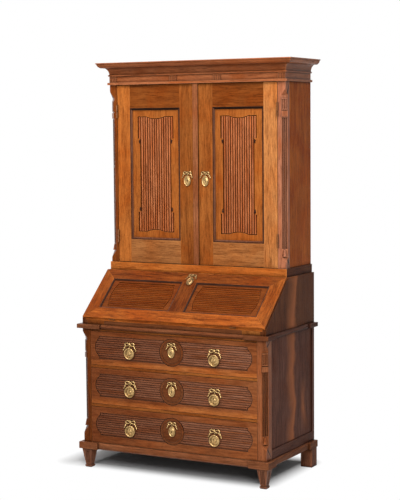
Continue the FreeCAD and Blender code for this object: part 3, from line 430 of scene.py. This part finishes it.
def level_of(name, direction):
    # How far out, along a direction, most of a node's area that faces that way lies.
    areas = {}
    for face in nodes[name].data.polygons:
        if face.normal.dot(direction) > FACING:
            level = round(face.center.dot(direction), TENTHS)
            areas[level] = areas.get(level, 0) + face.area
    return max(areas, key=areas.get)


# How far past an edge a line between tones lies, and the least step that counts as one
PAST_EDGE, FLAT = 0.001, 0.00002
MITRE = FLAT / 2
FRONT = Vector((0, -1, 0))

# Doors: the lines between stiles and rails lie a little outward of the edges of the panels
# Steps that part the strip, the beads and the crests of the reeds from what is beside them
STRIP_PROUD = 0.003
BEAD, BEAD_CREST = 0.0118, 0.0008
REED_CREST, DOOR_REED_CREST = 0.0014, 0.0009


def door_rule(side, left_tone, right_tone, shift):
    name = "door_" + side + "_frame"
    face = level_of(name, FRONT)
    low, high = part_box("door_" + side + "_panel")

    def rule(centre, normal):
        if centre.dot(FRONT) > face + STRIP_PROUD:
            return "strip", "z"
        if centre.x < low.x + shift:
            return left_tone, "z"
        if centre.x > high.x + shift:
            return right_tone, "z"
        return "door_foot" if centre.z < (low.z + high.z) / 2 else "door_rail", "x"
    return rule


def panel_rule(name):
    # The bead round a sunk panel is painted dark as shade, darkest on its top run, with a painted highlight
    # on the slopes of its left and bottom runs.
    low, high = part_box(name)
    face = level_of(name, FRONT)

    def rule(centre, normal):
        if high.z - centre.z < BEAD:
            return "bead_top_shade", "x"
        if high.x - centre.x < BEAD:
            return "bead", "z"
        if min(centre.x - low.x, centre.z - low.z) < BEAD:
            return ("bead" if centre.y < low.y + BEAD_CREST else "bead_highlight"), "z"
        # The crests of the reeds carry a painted highlight and their valleys painted shade
        deep = face - centre.dot(FRONT)
        if deep > FLAT:
            return ("crest_highlight" if deep < DOOR_REED_CREST else "valley_shade"), "z"
        return ("knob" if deep < -FLAT else "door_panel"), "z"
    return rule


dress("door_left_frame", door_rule("left", "door_light", "door_deep", -PAST_EDGE))
dress("door_right_frame", door_rule("right", "door_mid", "door_pale", PAST_EDGE))
for side in ("left", "right"):
    node = "door_" + side + "_panel"
    dress(node, panel_rule(node), carved=True)

# Fall: s runs up the slope from the hinge line, and the stiles meet the rails at a mitre
HINGE_Y, HINGE_Z = -0.280, round(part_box("fall_frame")[0].z, MICROMETRES)
FALL_INNER = round(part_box("fall_panels")[1].x, MICROMETRES)
FALL_STILE = round(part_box("fall_frame")[1].x, MICROMETRES) - FALL_INNER
FALL_LOW_RAIL, FALL_HIGH_START, FALL_HIGH_RAIL = 0.070, 0.278, 0.065


def up_fall(centre):
    return (centre.y - HINGE_Y) * math.cos(FALL_SLOPE) + (centre.z - HINGE_Z) * math.sin(FALL_SLOPE)


def fall_rule(centre, normal):
    s = up_fall(centre)
    out = (abs(centre.x) - FALL_INNER) / FALL_STILE
    down = (FALL_LOW_RAIL - s) / FALL_LOW_RAIL
    up = (s - FALL_HIGH_START) / FALL_HIGH_RAIL
    if out > 0 and out > down and out > up:
        return "fall_stile", "slope"
    if s > FALL_HIGH_START - PAST_EDGE / 2:
        return "fall_deep", "x"
    if s < FALL_LOW_RAIL + PAST_EDGE / 2:
        return "fall", "x"
    return "fall_muntin", "slope"


dress("fall_frame", fall_rule)


def fall_panel_rule():
    out = Vector((0, -math.sin(FALL_SLOPE), math.cos(FALL_SLOPE)))
    face = level_of("fall_panels", out)
    low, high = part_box("fall_panels")
    inner = min(abs(v.co.x) for v in nodes["fall_panels"].data.vertices)
    middle, reach = (high.x + inner) / 2, (high.x - inner) / 2
    halfway = (up_fall(low) + up_fall(high)) / 2

    def rule(centre, normal):
        # The bead round each panel is painted dark as shade, darkest on its upper and left runs, and the
        # valleys of the reeds carry a little painted shade
        proud = centre.dot(out) - face
        if proud > BEAD_CREST:
            across = centre.x - math.copysign(middle, centre.x)
            lit = across > 0 if abs(across) > reach - BEAD else up_fall(centre) < halfway
            return ("fall_bead_shade_lit" if lit else "fall_bead_shade"), "x"
        if proud < -FLAT:
            return ("fall_crest" if proud > -REED_CREST else "fall_valley_shade"), "x"
        return "fall_panel", "x"
    return rule


dress("fall_panels", fall_panel_rule(), carved=True)

# Drawers: the carved fields are greyer than their borders, round a darker disc
# Greatest depth of the carving, how steep its walls are, and place and radius of the disc
CARVING_DEEP, WALL = 0.006, 0.1
CARTOUCHE_RISE, MEDALLION = 0.005, 0.074


def drawer_rule(name):
    low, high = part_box(name)
    middle = (low.z + high.z) / 2 + CARTOUCHE_RISE

    def rule(centre, normal):
        deep = centre.y - low.y
        if deep > CARVING_DEEP:
            return "drawer", "x"
        # The walls at the ends of a field carry painted shade, and the valleys of its reeds a little painted
        # shade
        if deep > FLAT:
            carved = "reeds" if deep < REED_CREST else "reed_valley_shade"
            return ("drawer_wall_shade" if abs(normal.y) < WALL else carved), "x"
        return ("medallion" if math.hypot(centre.x, centre.z - middle) < MEDALLION else "drawer"), "x"
    return rule


for name in DRAWERS:
    node = "drawer_" + name + "_front"
    dress(node, drawer_rule(node), carved=True)
    dress("drawer_" + name + "_box", all_of("inside", "x"), BOX_EDGE)

# Chest: its sides have a rail above the base, a rail behind the waist and the desk's side over that
CASE_FRONT, CASE_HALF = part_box("side_right")[0].y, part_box("side_right")[1].x
CASE_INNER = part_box("side_right")[0].x
SIDE_RAIL = 0.047
SIDE_RAIL_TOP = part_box("base_moulding")[1].z + SIDE_RAIL
WAIST_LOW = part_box("waist_moulding")[0].z + PAST_EDGE / 2
WAIST_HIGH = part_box("waist_moulding")[1].z + PAST_EDGE
BOARD_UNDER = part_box("bottom_board")[0].z + PAST_EDGE
# The drawer rails reach this far sideways and the loper rail this far back, past them are the runners
RAIL_HALF, LOPER_RAIL_BACK = 0.4655, -0.238
# Depths between which a flute's faces lie, and how far they turn from flat
FLUTE_SHALLOW, FLUTE_DEEP, FLUTE_BENT = 0.0004, 0.0036, 0.998


def side_rule(centre, normal):
    if centre.z > WAIST_HIGH:
        return "desk_side", "z"
    if centre.z < SIDE_RAIL_TOP or centre.z > WAIST_LOW:
        return "side_rail", "y"
    return "side", "z"


def run_rule(front_tone, side_tone, face, half):
    # The mitre divides the front runs from the side runs, and its own faces belong to the side. The side
    # runs of the base, waist and plinth take a darker tone than their fronts: painted shade.
    def rule(centre, normal):
        if normal.y > REARWARD:
            return "back", "x"
        if normal.z > REARWARD and front_tone == "cornice":
            return "cornice_top", "x"
        front = face - centre.y > abs(centre.x) - half + MITRE
        return (front_tone, "x") if front else (side_tone, "y")
    return rule


def post_rule(name, side, tone):
    # The flutes in the canted face of a post are painted darker than the post, as shade.
    out = Vector((side, -1, 0)).normalized()
    face = level_of(name, out)

    def rule(centre, normal):
        deep = face - centre.dot(out)
        bent = max(normal.dot(out), normal.dot(FRONT), abs(normal.z)) < FLUTE_BENT
        return ("flute" if bent and FLUTE_SHALLOW < deep < FLUTE_DEEP else tone), "z"
    return rule


dress("side_left", side_rule, carved=True)
dress("side_right", side_rule, carved=True)
for side, way, tone in (("left", -1, "post_left"), ("right", 1, "post")):
    dress("corner_post_" + side, post_rule("corner_post_" + side, way, tone), carved=True)
    dress("upper_post_" + side, post_rule("upper_post_" + side, way, "upper_" + tone), carved=True)
for side in ("left", "right"):
    dress("loper_" + side, all_of("rail", "y"))
    dress("upper_side_" + side, all_of("upper_side", "z"))
dress("base_moulding", run_rule("base", "base_side_shade", CASE_FRONT, CASE_HALF), MOULDING_EDGE)
dress("waist_moulding", run_rule("waist", "waist_side_shade", CASE_FRONT, CASE_HALF), MOULDING_EDGE)
dress("front_feet", all_of("foot", "z"), carved=True)
dress("back_feet", all_of("back_foot", "z"), FOOT_EDGE)
dress("drawer_rails", lambda c, n: ("rail", "x") if abs(c.x) < RAIL_HALF else ("inside", "y"))
# The underside of the bottom board is painted dark, as shade
dress("bottom_board", lambda c, n: ("under", "x") if c.z < BOARD_UNDER else ("inside", "x"))
dress("waist_board", all_of("rail", "x"))
dress("lower_back", all_of("back", "z"), carved=True)
# The loper rail's front is painted darker, as the shadow that the fall's edge casts on it
dress("loper_rail", lambda c, n: ("loper_rail", "x") if c.y < LOPER_RAIL_BACK else ("inside", "y"))
dress("desk_top", run_rule("plinth", "plinth_side_shade", CASE_FRONT, CASE_INNER))
dress("desk_board", all_of("fall", "x"))
dress("pigeonholes", all_of("nest", "x"), carved=True)
for name in ("left", "centre", "right"):
    dress("small_drawer_" + name, all_of("fall", "x"), SMALL_EDGE)

# Upper case: the frieze has a bead at its foot and a block over each post
UPPER_HALF, UPPER_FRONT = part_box("upper_side_right")[1].x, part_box("door_right_frame")[0].y
FRIEZE_BEAD = 0.0122
FRIEZE_BEAD_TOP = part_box("frieze")[0].z + FRIEZE_BEAD


def frieze_rule(centre, normal):
    bead = centre.z < FRIEZE_BEAD_TOP
    block = centre.y < UPPER_FRONT - PAST_EDGE / 2 and not bead
    front = UPPER_FRONT - centre.y > abs(centre.x) - UPPER_HALF + MITRE
    return ("post", "z") if block else ("cornice" if bead else "frieze", "x" if front else "y")


dress("plinth", run_rule("plinth", "plinth_side_shade", UPPER_FRONT, UPPER_HALF), carved=True)
dress("cornice", run_rule("cornice", "cornice", UPPER_FRONT, UPPER_HALF))
dress("frieze", frieze_rule, carved=True)
dress("upper_bottom", all_of("inside", "x"))
dress("upper_top", all_of("inside", "x"))
dress("upper_back", all_of("back", "z"), carved=True)
dress("shelves", all_of("inside", "x"))

# Brass mounts: rosettes, key plates and ribbon bows, in metres across (u), up (v) and out (w) of the wood
PLATE_RADIUS = 0.028
KEYPLATE_HALF, KEYPLATE_HIGH = 0.0195, 0.0275
KEYHOLE_RADIUS, KEYHOLE_SLOT, KEYHOLE_SLOT_HALF = 0.003, 0.009, 0.0015
LUG_RISE, LUG_STAND, LUG_RADIUS, LUG_BORE, LUG_HALF = 0.027, 0.009, 0.0042, 0.00205, 0.003
ROUND = 48
# Bow of the pulls: right half, from the knot
KNOT_RISE = 0.048
LOOP = [(0.002, 0.047), (0.009, 0.053), (0.019, 0.055), (0.028, 0.050), (0.025, 0.042), (0.014, 0.041),
        (0.005, 0.045)]
TAIL = [(0.004, 0.045), (0.013, 0.040), (0.022, 0.039), (0.030, 0.034), (0.031, 0.027), (0.036, 0.021),
        (0.038, 0.013)]
PEAK = [(0.0, 0.046), (-0.002, 0.053), (0.001, 0.058)]
LOOP_WIDE, LOOP_HIGH = 0.0066, 0.0044
TAIL_WIDE, TAIL_HIGH, TAIL_RIPPLE = 0.0078, 0.0040, 0.35
PEAK_WIDE, PEAK_HIGH = 0.0090, 0.0050
NECK_START, NECK_BEND, NECK_WIDE, NECK_HIGH = 0.004, 0.012, 0.006, 0.0030
KNOT_RADIUS = 0.0062
KNOT_PROFILE = [(1, 0, 0), (1, 0.003, 0), (0.7, 0.0058, 0), (0.2, 0.0068, 0)]
# The key plates have a smaller bow
KEY_BOW_RISE, KEY_BOW_SCALE = 0.042, 0.80
# Section of a ribbon as shares of half its width and of its height, and how it narrows to its ends
SECTION = ((-1, 0), (-0.85, 0.6), (-0.3, 1), (0.3, 0.85), (0.85, 0.6), (1, 0))
NARROWEST, TAPER_START, TAPER_RUN = 0.45, 0.12, 0.80
RIPPLES = 7
PETALS = 12
# Profiles from the rim inward: share of the radius, height and, for a rosette, height of the petals
PULL_PROFILE = [(1, 0, 0), (1, 0.0024, 0), (0.95, 0.0038, 0), (0.88, 0.0040, 0), (0.82, 0.0018, 0),
                (0.76, 0.0022, 0.0004), (0.60, 0.0040, 0.0011), (0.42, 0.0040, 0.0009), (0.34, 0.0020, 0),
                (0.30, 0.0045, 0), (0.20, 0.0066, 0), (0.06, 0.0072, 0)]
KEY_PROFILE = [(1, 0), (1, 0.0026), (0.93, 0.0042), (0.84, 0.0042), (0.77, 0.0020), (0.66, 0.0016),
               (0.60, 0.0030), (0.40, 0.0046), (0.12, 0.0048), (0, 0.0042), (0, 0)]
# A pull's plate and bow are wider together than this, a key plate's are not
PULL_WIDE = 2.6 * PLATE_RADIUS
PLATE_LEVEL = 0.0005
SHELL_NEAR = 0.00001
fittings_brass = brass("brass_fittings", (190, 156, 104), rough=0.30, dirt=0.9)
# The fall's brass is painted darker, as shade, and is rougher
dull_shaded_brass = brass("brass_dull_shaded", (146, 116, 76), rough=0.42, dirt=0.95)
hinge_brass = brass("brass_hinges", (122, 78, 46), rough=0.5, dirt=0.85)


class Cast:
    # Collects the faces of one brass piece on a plane that leans back by slope from the level.
    def __init__(self, slope):
        self.up = Vector((0, math.cos(slope), math.sin(slope)))
        self.out = Vector((0, -math.sin(slope), math.cos(slope)))
        self.points, self.faces = [], []
        self.centre = Vector((0, 0, 0))

    def place(self, u, v, w):
        return self.centre + Vector((u, 0, 0)) + self.up * v + self.out * w

    def loft(self, rows, close=False, caps=False):
        # Joins rows of points, each a closed ring, to a skin.
        first, count = len(self.points), len(rows[0])
        for row in rows:
            self.points.extend(self.place(*point) for point in row)
        pairs = list(range(len(rows) - 1)) + ([-1] if close else [])
        for i in pairs:
            a, b = first + (i % len(rows)) * count, first + (i + 1) * count
            for k in range(count):
                n = (k + 1) % count
                self.faces.append((a + k, a + n, b + n, b + k))
        if caps:
            self.faces.append(tuple(range(first + count - 1, first - 1, -1)))
            self.faces.append(tuple(range(len(self.points) - count, len(self.points))))

    def rosette(self, radius, profile, petals=0, v=0.0):
        # Turned disc with waves on it, as many as petals; profile holds (share of radius, height, wave).
        rows = []
        for share, height, wave in profile:
            row = []
            for k in range(ROUND):
                turn = 2 * math.pi * k / ROUND
                lift = height + wave * math.cos(petals * turn)
                row.append((share * radius * math.cos(turn), v + share * radius * math.sin(turn), lift))
            rows.append(row)
        self.loft(rows, caps=True)

    def key_plate(self, profile):
        # Oval plate round a keyhole; profile runs from the rim (1) in to the hole (0).
        rows = []
        for share, height in profile:
            row = []
            for k in range(ROUND):
                turn = 2 * math.pi * k / ROUND
                across, rise = math.cos(turn), math.sin(turn)
                hole = KEYHOLE_RADIUS
                if rise < 0 and abs(across) * KEYHOLE_RADIUS < KEYHOLE_SLOT_HALF:
                    hole = min(KEYHOLE_SLOT / -rise, KEYHOLE_SLOT_HALF / max(abs(across), KEYHOLE_SLOT_HALF))
                rim = 1 / math.hypot(across / KEYPLATE_HALF, rise / KEYPLATE_HIGH)
                far = hole + (rim - hole) * share
                row.append((across * far, rise * far, height))
            rows.append(row)
        self.loft(rows, close=True)

    def ribbon(self, corners, wide, rise, ripple=0.0):
        # Rounded band along a smooth path through corners.
        path = smooth(corners)
        rows = []
        for i, (u, v) in enumerate(path):
            before, after = path[max(i - 1, 0)], path[min(i + 1, len(path) - 1)]
            along = Vector((after[0] - before[0], after[1] - before[1])).normalized()
            share = i / (len(path) - 1)
            taper = math.sin(math.pi * (TAPER_START + TAPER_RUN * share))
            half = wide / 2 * (NARROWEST + (1 - NARROWEST) * taper)
            lift = rise * (1 + ripple * math.sin(RIPPLES * math.pi * share))
            rows.append([(u - along.y * half * a, v + along.x * half * a, lift * h) for a, h in SECTION])
        self.loft(rows, caps=True)

    def bow(self, knot_rise, scale):
        def fit(corners, hand):
            return [(hand * u * scale, knot_rise + (v - KNOT_RISE) * scale) for u, v in corners]
        for hand in (-1, 1):
            self.ribbon(fit(LOOP, hand), LOOP_WIDE * scale, LOOP_HIGH * scale)
            self.ribbon(fit(TAIL, hand), TAIL_WIDE * scale, TAIL_HIGH * scale, TAIL_RIPPLE)
        self.ribbon(fit(PEAK, 1), PEAK_WIDE * scale, PEAK_HIGH * scale)
        self.rosette(KNOT_RADIUS * scale, KNOT_PROFILE, v=knot_rise)
        neck = [(0, knot_rise - NECK_START), (0, knot_rise - NECK_BEND), (0, KNOT_RISE / 2)]
        self.ribbon(neck, NECK_WIDE * scale, NECK_HIGH)

    def lug(self):
        # Barrel that the ring's axle turns in, and its stem.
        rows = []
        for side, radius in ((-1, LUG_BORE), (-1, LUG_RADIUS), (1, LUG_RADIUS), (1, LUG_BORE)):
            rows.append([(side * LUG_HALF, LUG_RISE + radius * math.sin(2 * math.pi * k / ROUND),
                          LUG_STAND + radius * math.cos(2 * math.pi * k / ROUND)) for k in range(ROUND)])
        self.loft(rows, close=True)
        stem = [(a * LUG_HALF, LUG_RISE + b * LUG_BORE) for a, b in ((-1, -1), (1, -1), (1, 1), (-1, 1))]
        self.loft([[(u, v, w) for u, v in stem] for w in (0, LUG_STAND - LUG_BORE)], caps=True)


def smooth(corners, steps=5):
    # Points of a smooth path through all corners.
    ends = [corners[0]] + list(corners) + [corners[-1]]
    path = []
    for a, b, c, d in zip(ends, ends[1:], ends[2:], ends[3:]):
        for k in range(steps):
            t = k / steps
            path.append(tuple(0.5 * (2 * q + (r - p) * t + (2 * p - 5 * q + 4 * r - s) * t ** 2
                                     + (3 * q - p - 3 * r + s) * t ** 3) for p, q, r, s in zip(a, b, c, d)))
    return path + [corners[-1]]


def shells(node):
    # The separate solids of a node, as lists of vertices of one welded mesh.
    solid = bmesh.new()
    solid.from_mesh(nodes[node].data)
    bmesh.ops.remove_doubles(solid, verts=solid.verts, dist=SHELL_NEAR)
    found, reached = [], set()
    for start in solid.verts:
        if start in reached:
            continue
        reached.add(start)
        group = [start]
        for vert in group:
            for edge in vert.link_edges:
                other = edge.other_vert(vert)
                if other not in reached:
                    reached.add(other)
                    group.append(other)
        found.append(group)
    return solid, found


def mounts(body, slope=math.pi / 2, material=fittings_brass):
    # Stands for the node body_fittings: its plain plates get their cast form, the rest stays as it is.
    node = body + "_fittings"
    cast = Cast(slope)
    solid, found = shells(node)
    # The plates are the solids whose back face lies foremost
    backs = [min(vert.co.dot(cast.out) for vert in group) for group in found]
    surface = max(backs)
    plain_faces = []
    for group, back in zip(found, backs):
        if back < surface - PLATE_LEVEL:
            first = {vert: len(cast.points) + k for k, vert in enumerate(group)}
            cast.points.extend(vert.co.copy() for vert in group)
            inside = {face for vert in group for face in vert.link_faces}
            plain_faces.extend(range(len(cast.faces), len(cast.faces) + len(inside)))
            cast.faces.extend(tuple(first[vert] for vert in face.verts) for face in inside)
            continue
        across = [vert.co.x for vert in group]
        low = min(vert.co.dot(cast.up) for vert in group)
        pull = max(across) - min(across) > PULL_WIDE
        rise = low + (PLATE_RADIUS if pull else KEYPLATE_HIGH)
        cast.centre = Vector(((max(across) + min(across)) / 2, 0, 0)) + cast.up * rise + cast.out * surface
        if pull:
            cast.rosette(PLATE_RADIUS, PULL_PROFILE, PETALS)
            cast.bow(KNOT_RISE, 1.0)
            cast.lug()
        else:
            cast.key_plate(KEY_PROFILE)
            cast.bow(KEY_BOW_RISE, KEY_BOW_SCALE)
    solid.free()
    mesh = bpy.data.meshes.new(body + "_mounts")
    mesh.from_pydata(cast.points, [], cast.faces)
    mesh.materials.append(material)
    mesh.materials.append(hinge_brass)
    mesh.polygons.foreach_set("use_smooth", [True] * len(mesh.polygons))
    for index in plain_faces:
        mesh.polygons[index].material_index = 1
        mesh.polygons[index].use_smooth = False
    piece = bpy.data.objects.new(body + "_mounts", mesh)
    scene.collection.objects.link(piece)
    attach(piece, body)
    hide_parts(node)


for name in ("drawer_bottom", "drawer_middle", "drawer_top", "door_left", "door_right"):
    mounts(name)
mounts("fall", FALL_SLOPE, dull_shaded_brass)


def metal(name, material):
    obj = nodes[name]
    obj.data.materials.clear()
    obj.data.materials.append(material)


for name in nodes:
    if "_ring_" in name:
        metal(name, fittings_brass)
metal("case_hinges", hinge_brass)
metal("fall_hinge_leaves", hinge_brass)


# Camera, as fitted to the photo
CAMERA_TURN, CAMERA_RISE, CAMERA_ROLL = math.radians(28.633), math.radians(4.999), math.radians(-0.470)
CAMERA_AIM, CAMERA_AWAY = Vector((-0.0048, 0.0455, 1.1553)), 7.517
SENSOR_WIDE, LENS, SIGHT = 36, 102.1, 80


def photo_camera():
    azimuth, elevation, roll = CAMERA_TURN, CAMERA_RISE, CAMERA_ROLL
    back = Vector((math.sin(azimuth) * math.cos(elevation), -math.cos(azimuth) * math.cos(elevation),
                   math.sin(elevation)))
    right = (-back).cross(Vector((0, 0, 1))).normalized()
    up = right.cross(-back).normalized()
    side = right * math.cos(roll) + up * math.sin(roll)
    top = -right * math.sin(roll) + up * math.cos(roll)
    place = CAMERA_AIM + back * CAMERA_AWAY
    data = bpy.data.cameras.new("photo_camera")
    data.sensor_width = SENSOR_WIDE
    data.lens = LENS
    data.clip_end = SIGHT
    camera = bpy.data.objects.new("photo_camera", data)
    scene.collection.objects.link(camera)
    camera.matrix_world = Matrix(((side.x, top.x, back.x, place.x), (side.y, top.y, back.y, place.y),
                                  (side.z, top.z, back.z, place.z), (0, 0, 0, 1)))
    scene.camera = camera


photo_camera()


# Studio: soft lamps, and a floor that turns to plain white away from the cabinet
WORLD_LIGHT = 0.035
FLOOR_PALE, FLOOR_VARY, FLOOR_GRAIN = 0.62, 0.02, (3.0, 2, 0.5, 0.0)
FLOOR_ROUGH, FLOOR_GLOSS = 0.9, 0.1
FLOOR_REACH = 30.0
# The floor under the cabinet keeps its shade within this rectangle, and loses it from start to end past it
SHADE_LEFT, SHADE_RIGHT, SHADE_FRONT, SHADE_BACK = -0.64, 0.44, -0.17, 0.32
SHADE_START, SHADE_END = 0.01, 0.13
# Place, aim, width and height, and power of each lamp
LAMPS = {"key": ((1.7, -5.2, 3.8), (0, 0, 1.1), (2.2, 2.2), 190),
         "right": ((3.9, -4.6, 2.4), (0, 0, 1.1), (1.4, 2.0), 70),
         "top": ((0.2, -2.0, 5.2), (0, -0.2, 0.6), (2.4, 1.6), 200)}
# Ways that the fills shine, which all have one power and one spread
FILLS = {"left": (0.98, -0.20, 0), "back": (0.10, -0.99, 0)}
FILL_POWER, FILL_SPREAD = 1.0, math.radians(4)


def seen(tree):
    # One for the rays that show the background: straight to the camera, by gloss or through glass.
    path = tree.add("ShaderNodeLightPath").outputs
    shown = tree.math("MAXIMUM", path["Is Camera Ray"], path["Is Glossy Ray"])
    return tree.math("MAXIMUM", shown, path["Is Transmission Ray"])


def studio():
    world = bpy.data.worlds.new("studio")
    scene.world = world
    world.use_nodes = True
    sky = Tree("studio", world)
    white = sky.add("ShaderNodeBackground", {"Color": (1, 1, 1, 1)}).outputs[0]
    dim = sky.add("ShaderNodeBackground", {"Color": (1, 1, 1, 1), "Strength": WORLD_LIGHT}).outputs[0]
    join = sky.add("ShaderNodeMixShader", {0: seen(sky), 1: dim, 2: white})
    sky.links.new(join.outputs[0], sky.nodes["World Output"].inputs["Surface"])

    mesh = bpy.data.meshes.new("floor")
    corners = [(x * FLOOR_REACH, y * FLOOR_REACH, 0) for x, y in ((-1, -1), (1, -1), (1, 1), (-1, 1))]
    mesh.from_pydata(corners, [], [(0, 1, 2, 3)])
    floor = bpy.data.objects.new("floor", mesh)
    scene.collection.objects.link(floor)
    paper = Tree("paper")
    place = paper.add("ShaderNodeTexCoord").outputs["Object"]
    apart = paper.add("ShaderNodeSeparateXYZ", {0: place}).outputs

    def past_edge(axis, low, high):
        off = paper.math("ABSOLUTE", paper.math("SUBTRACT", apart[axis], (low + high) / 2))
        return paper.math("MAXIMUM", paper.math("SUBTRACT", off, (high - low) / 2), 0.0)

    sides = {"X": past_edge("X", SHADE_LEFT, SHADE_RIGHT), "Y": past_edge("Y", SHADE_FRONT, SHADE_BACK)}
    past = paper.add("ShaderNodeCombineXYZ", sides).outputs[0]
    away = paper.add("ShaderNodeVectorMath", {0: past}, operation="LENGTH").outputs["Value"]
    grain = paper.noise(place, *FLOOR_GRAIN)
    shades = [(0.0, (FLOOR_PALE - FLOOR_VARY,) * 3), (1.0, (FLOOR_PALE + FLOOR_VARY,) * 3)]
    paper.plug("Base Color", paper.ramp(grain, shades))
    paper.plug("Roughness", FLOOR_ROUGH)
    paper.plug("Specular IOR Level", FLOOR_GLOSS)
    glow = paper.add("ShaderNodeEmission", {"Color": (1, 1, 1, 1), "Strength": 1.0}).outputs[0]
    share = paper.math("MULTIPLY", paper.grey(away, SHADE_START, SHADE_END), seen(paper))
    join = paper.add("ShaderNodeMixShader", {0: share, 1: paper.shader.outputs[0], 2: glow})
    paper.links.new(join.outputs[0], paper.nodes["Material Output"].inputs["Surface"])
    mesh.materials.append(paper.material)


def lamp(name, place, aim, size, power):
    data = bpy.data.lights.new(name, "AREA")
    data.shape = "RECTANGLE"
    data.size, data.size_y = size
    data.energy = power
    obj = bpy.data.objects.new(name, data)
    scene.collection.objects.link(obj)
    obj.location = place
    obj.rotation_euler = (Vector(aim) - Vector(place)).to_track_quat("-Z", "Y").to_euler()


def fill(name, direction):
    # Level light for the sides that the lamps leave dark, which passes over the floor.
    data = bpy.data.lights.new(name, "SUN")
    data.energy = FILL_POWER
    data.angle = FILL_SPREAD
    obj = bpy.data.objects.new(name, data)
    scene.collection.objects.link(obj)
    obj.rotation_euler = Vector(direction).to_track_quat("-Z", "Y").to_euler()


studio()
for name, settings in LAMPS.items():
    lamp(name, *settings)
for name, direction in FILLS.items():
    fill(name, direction)
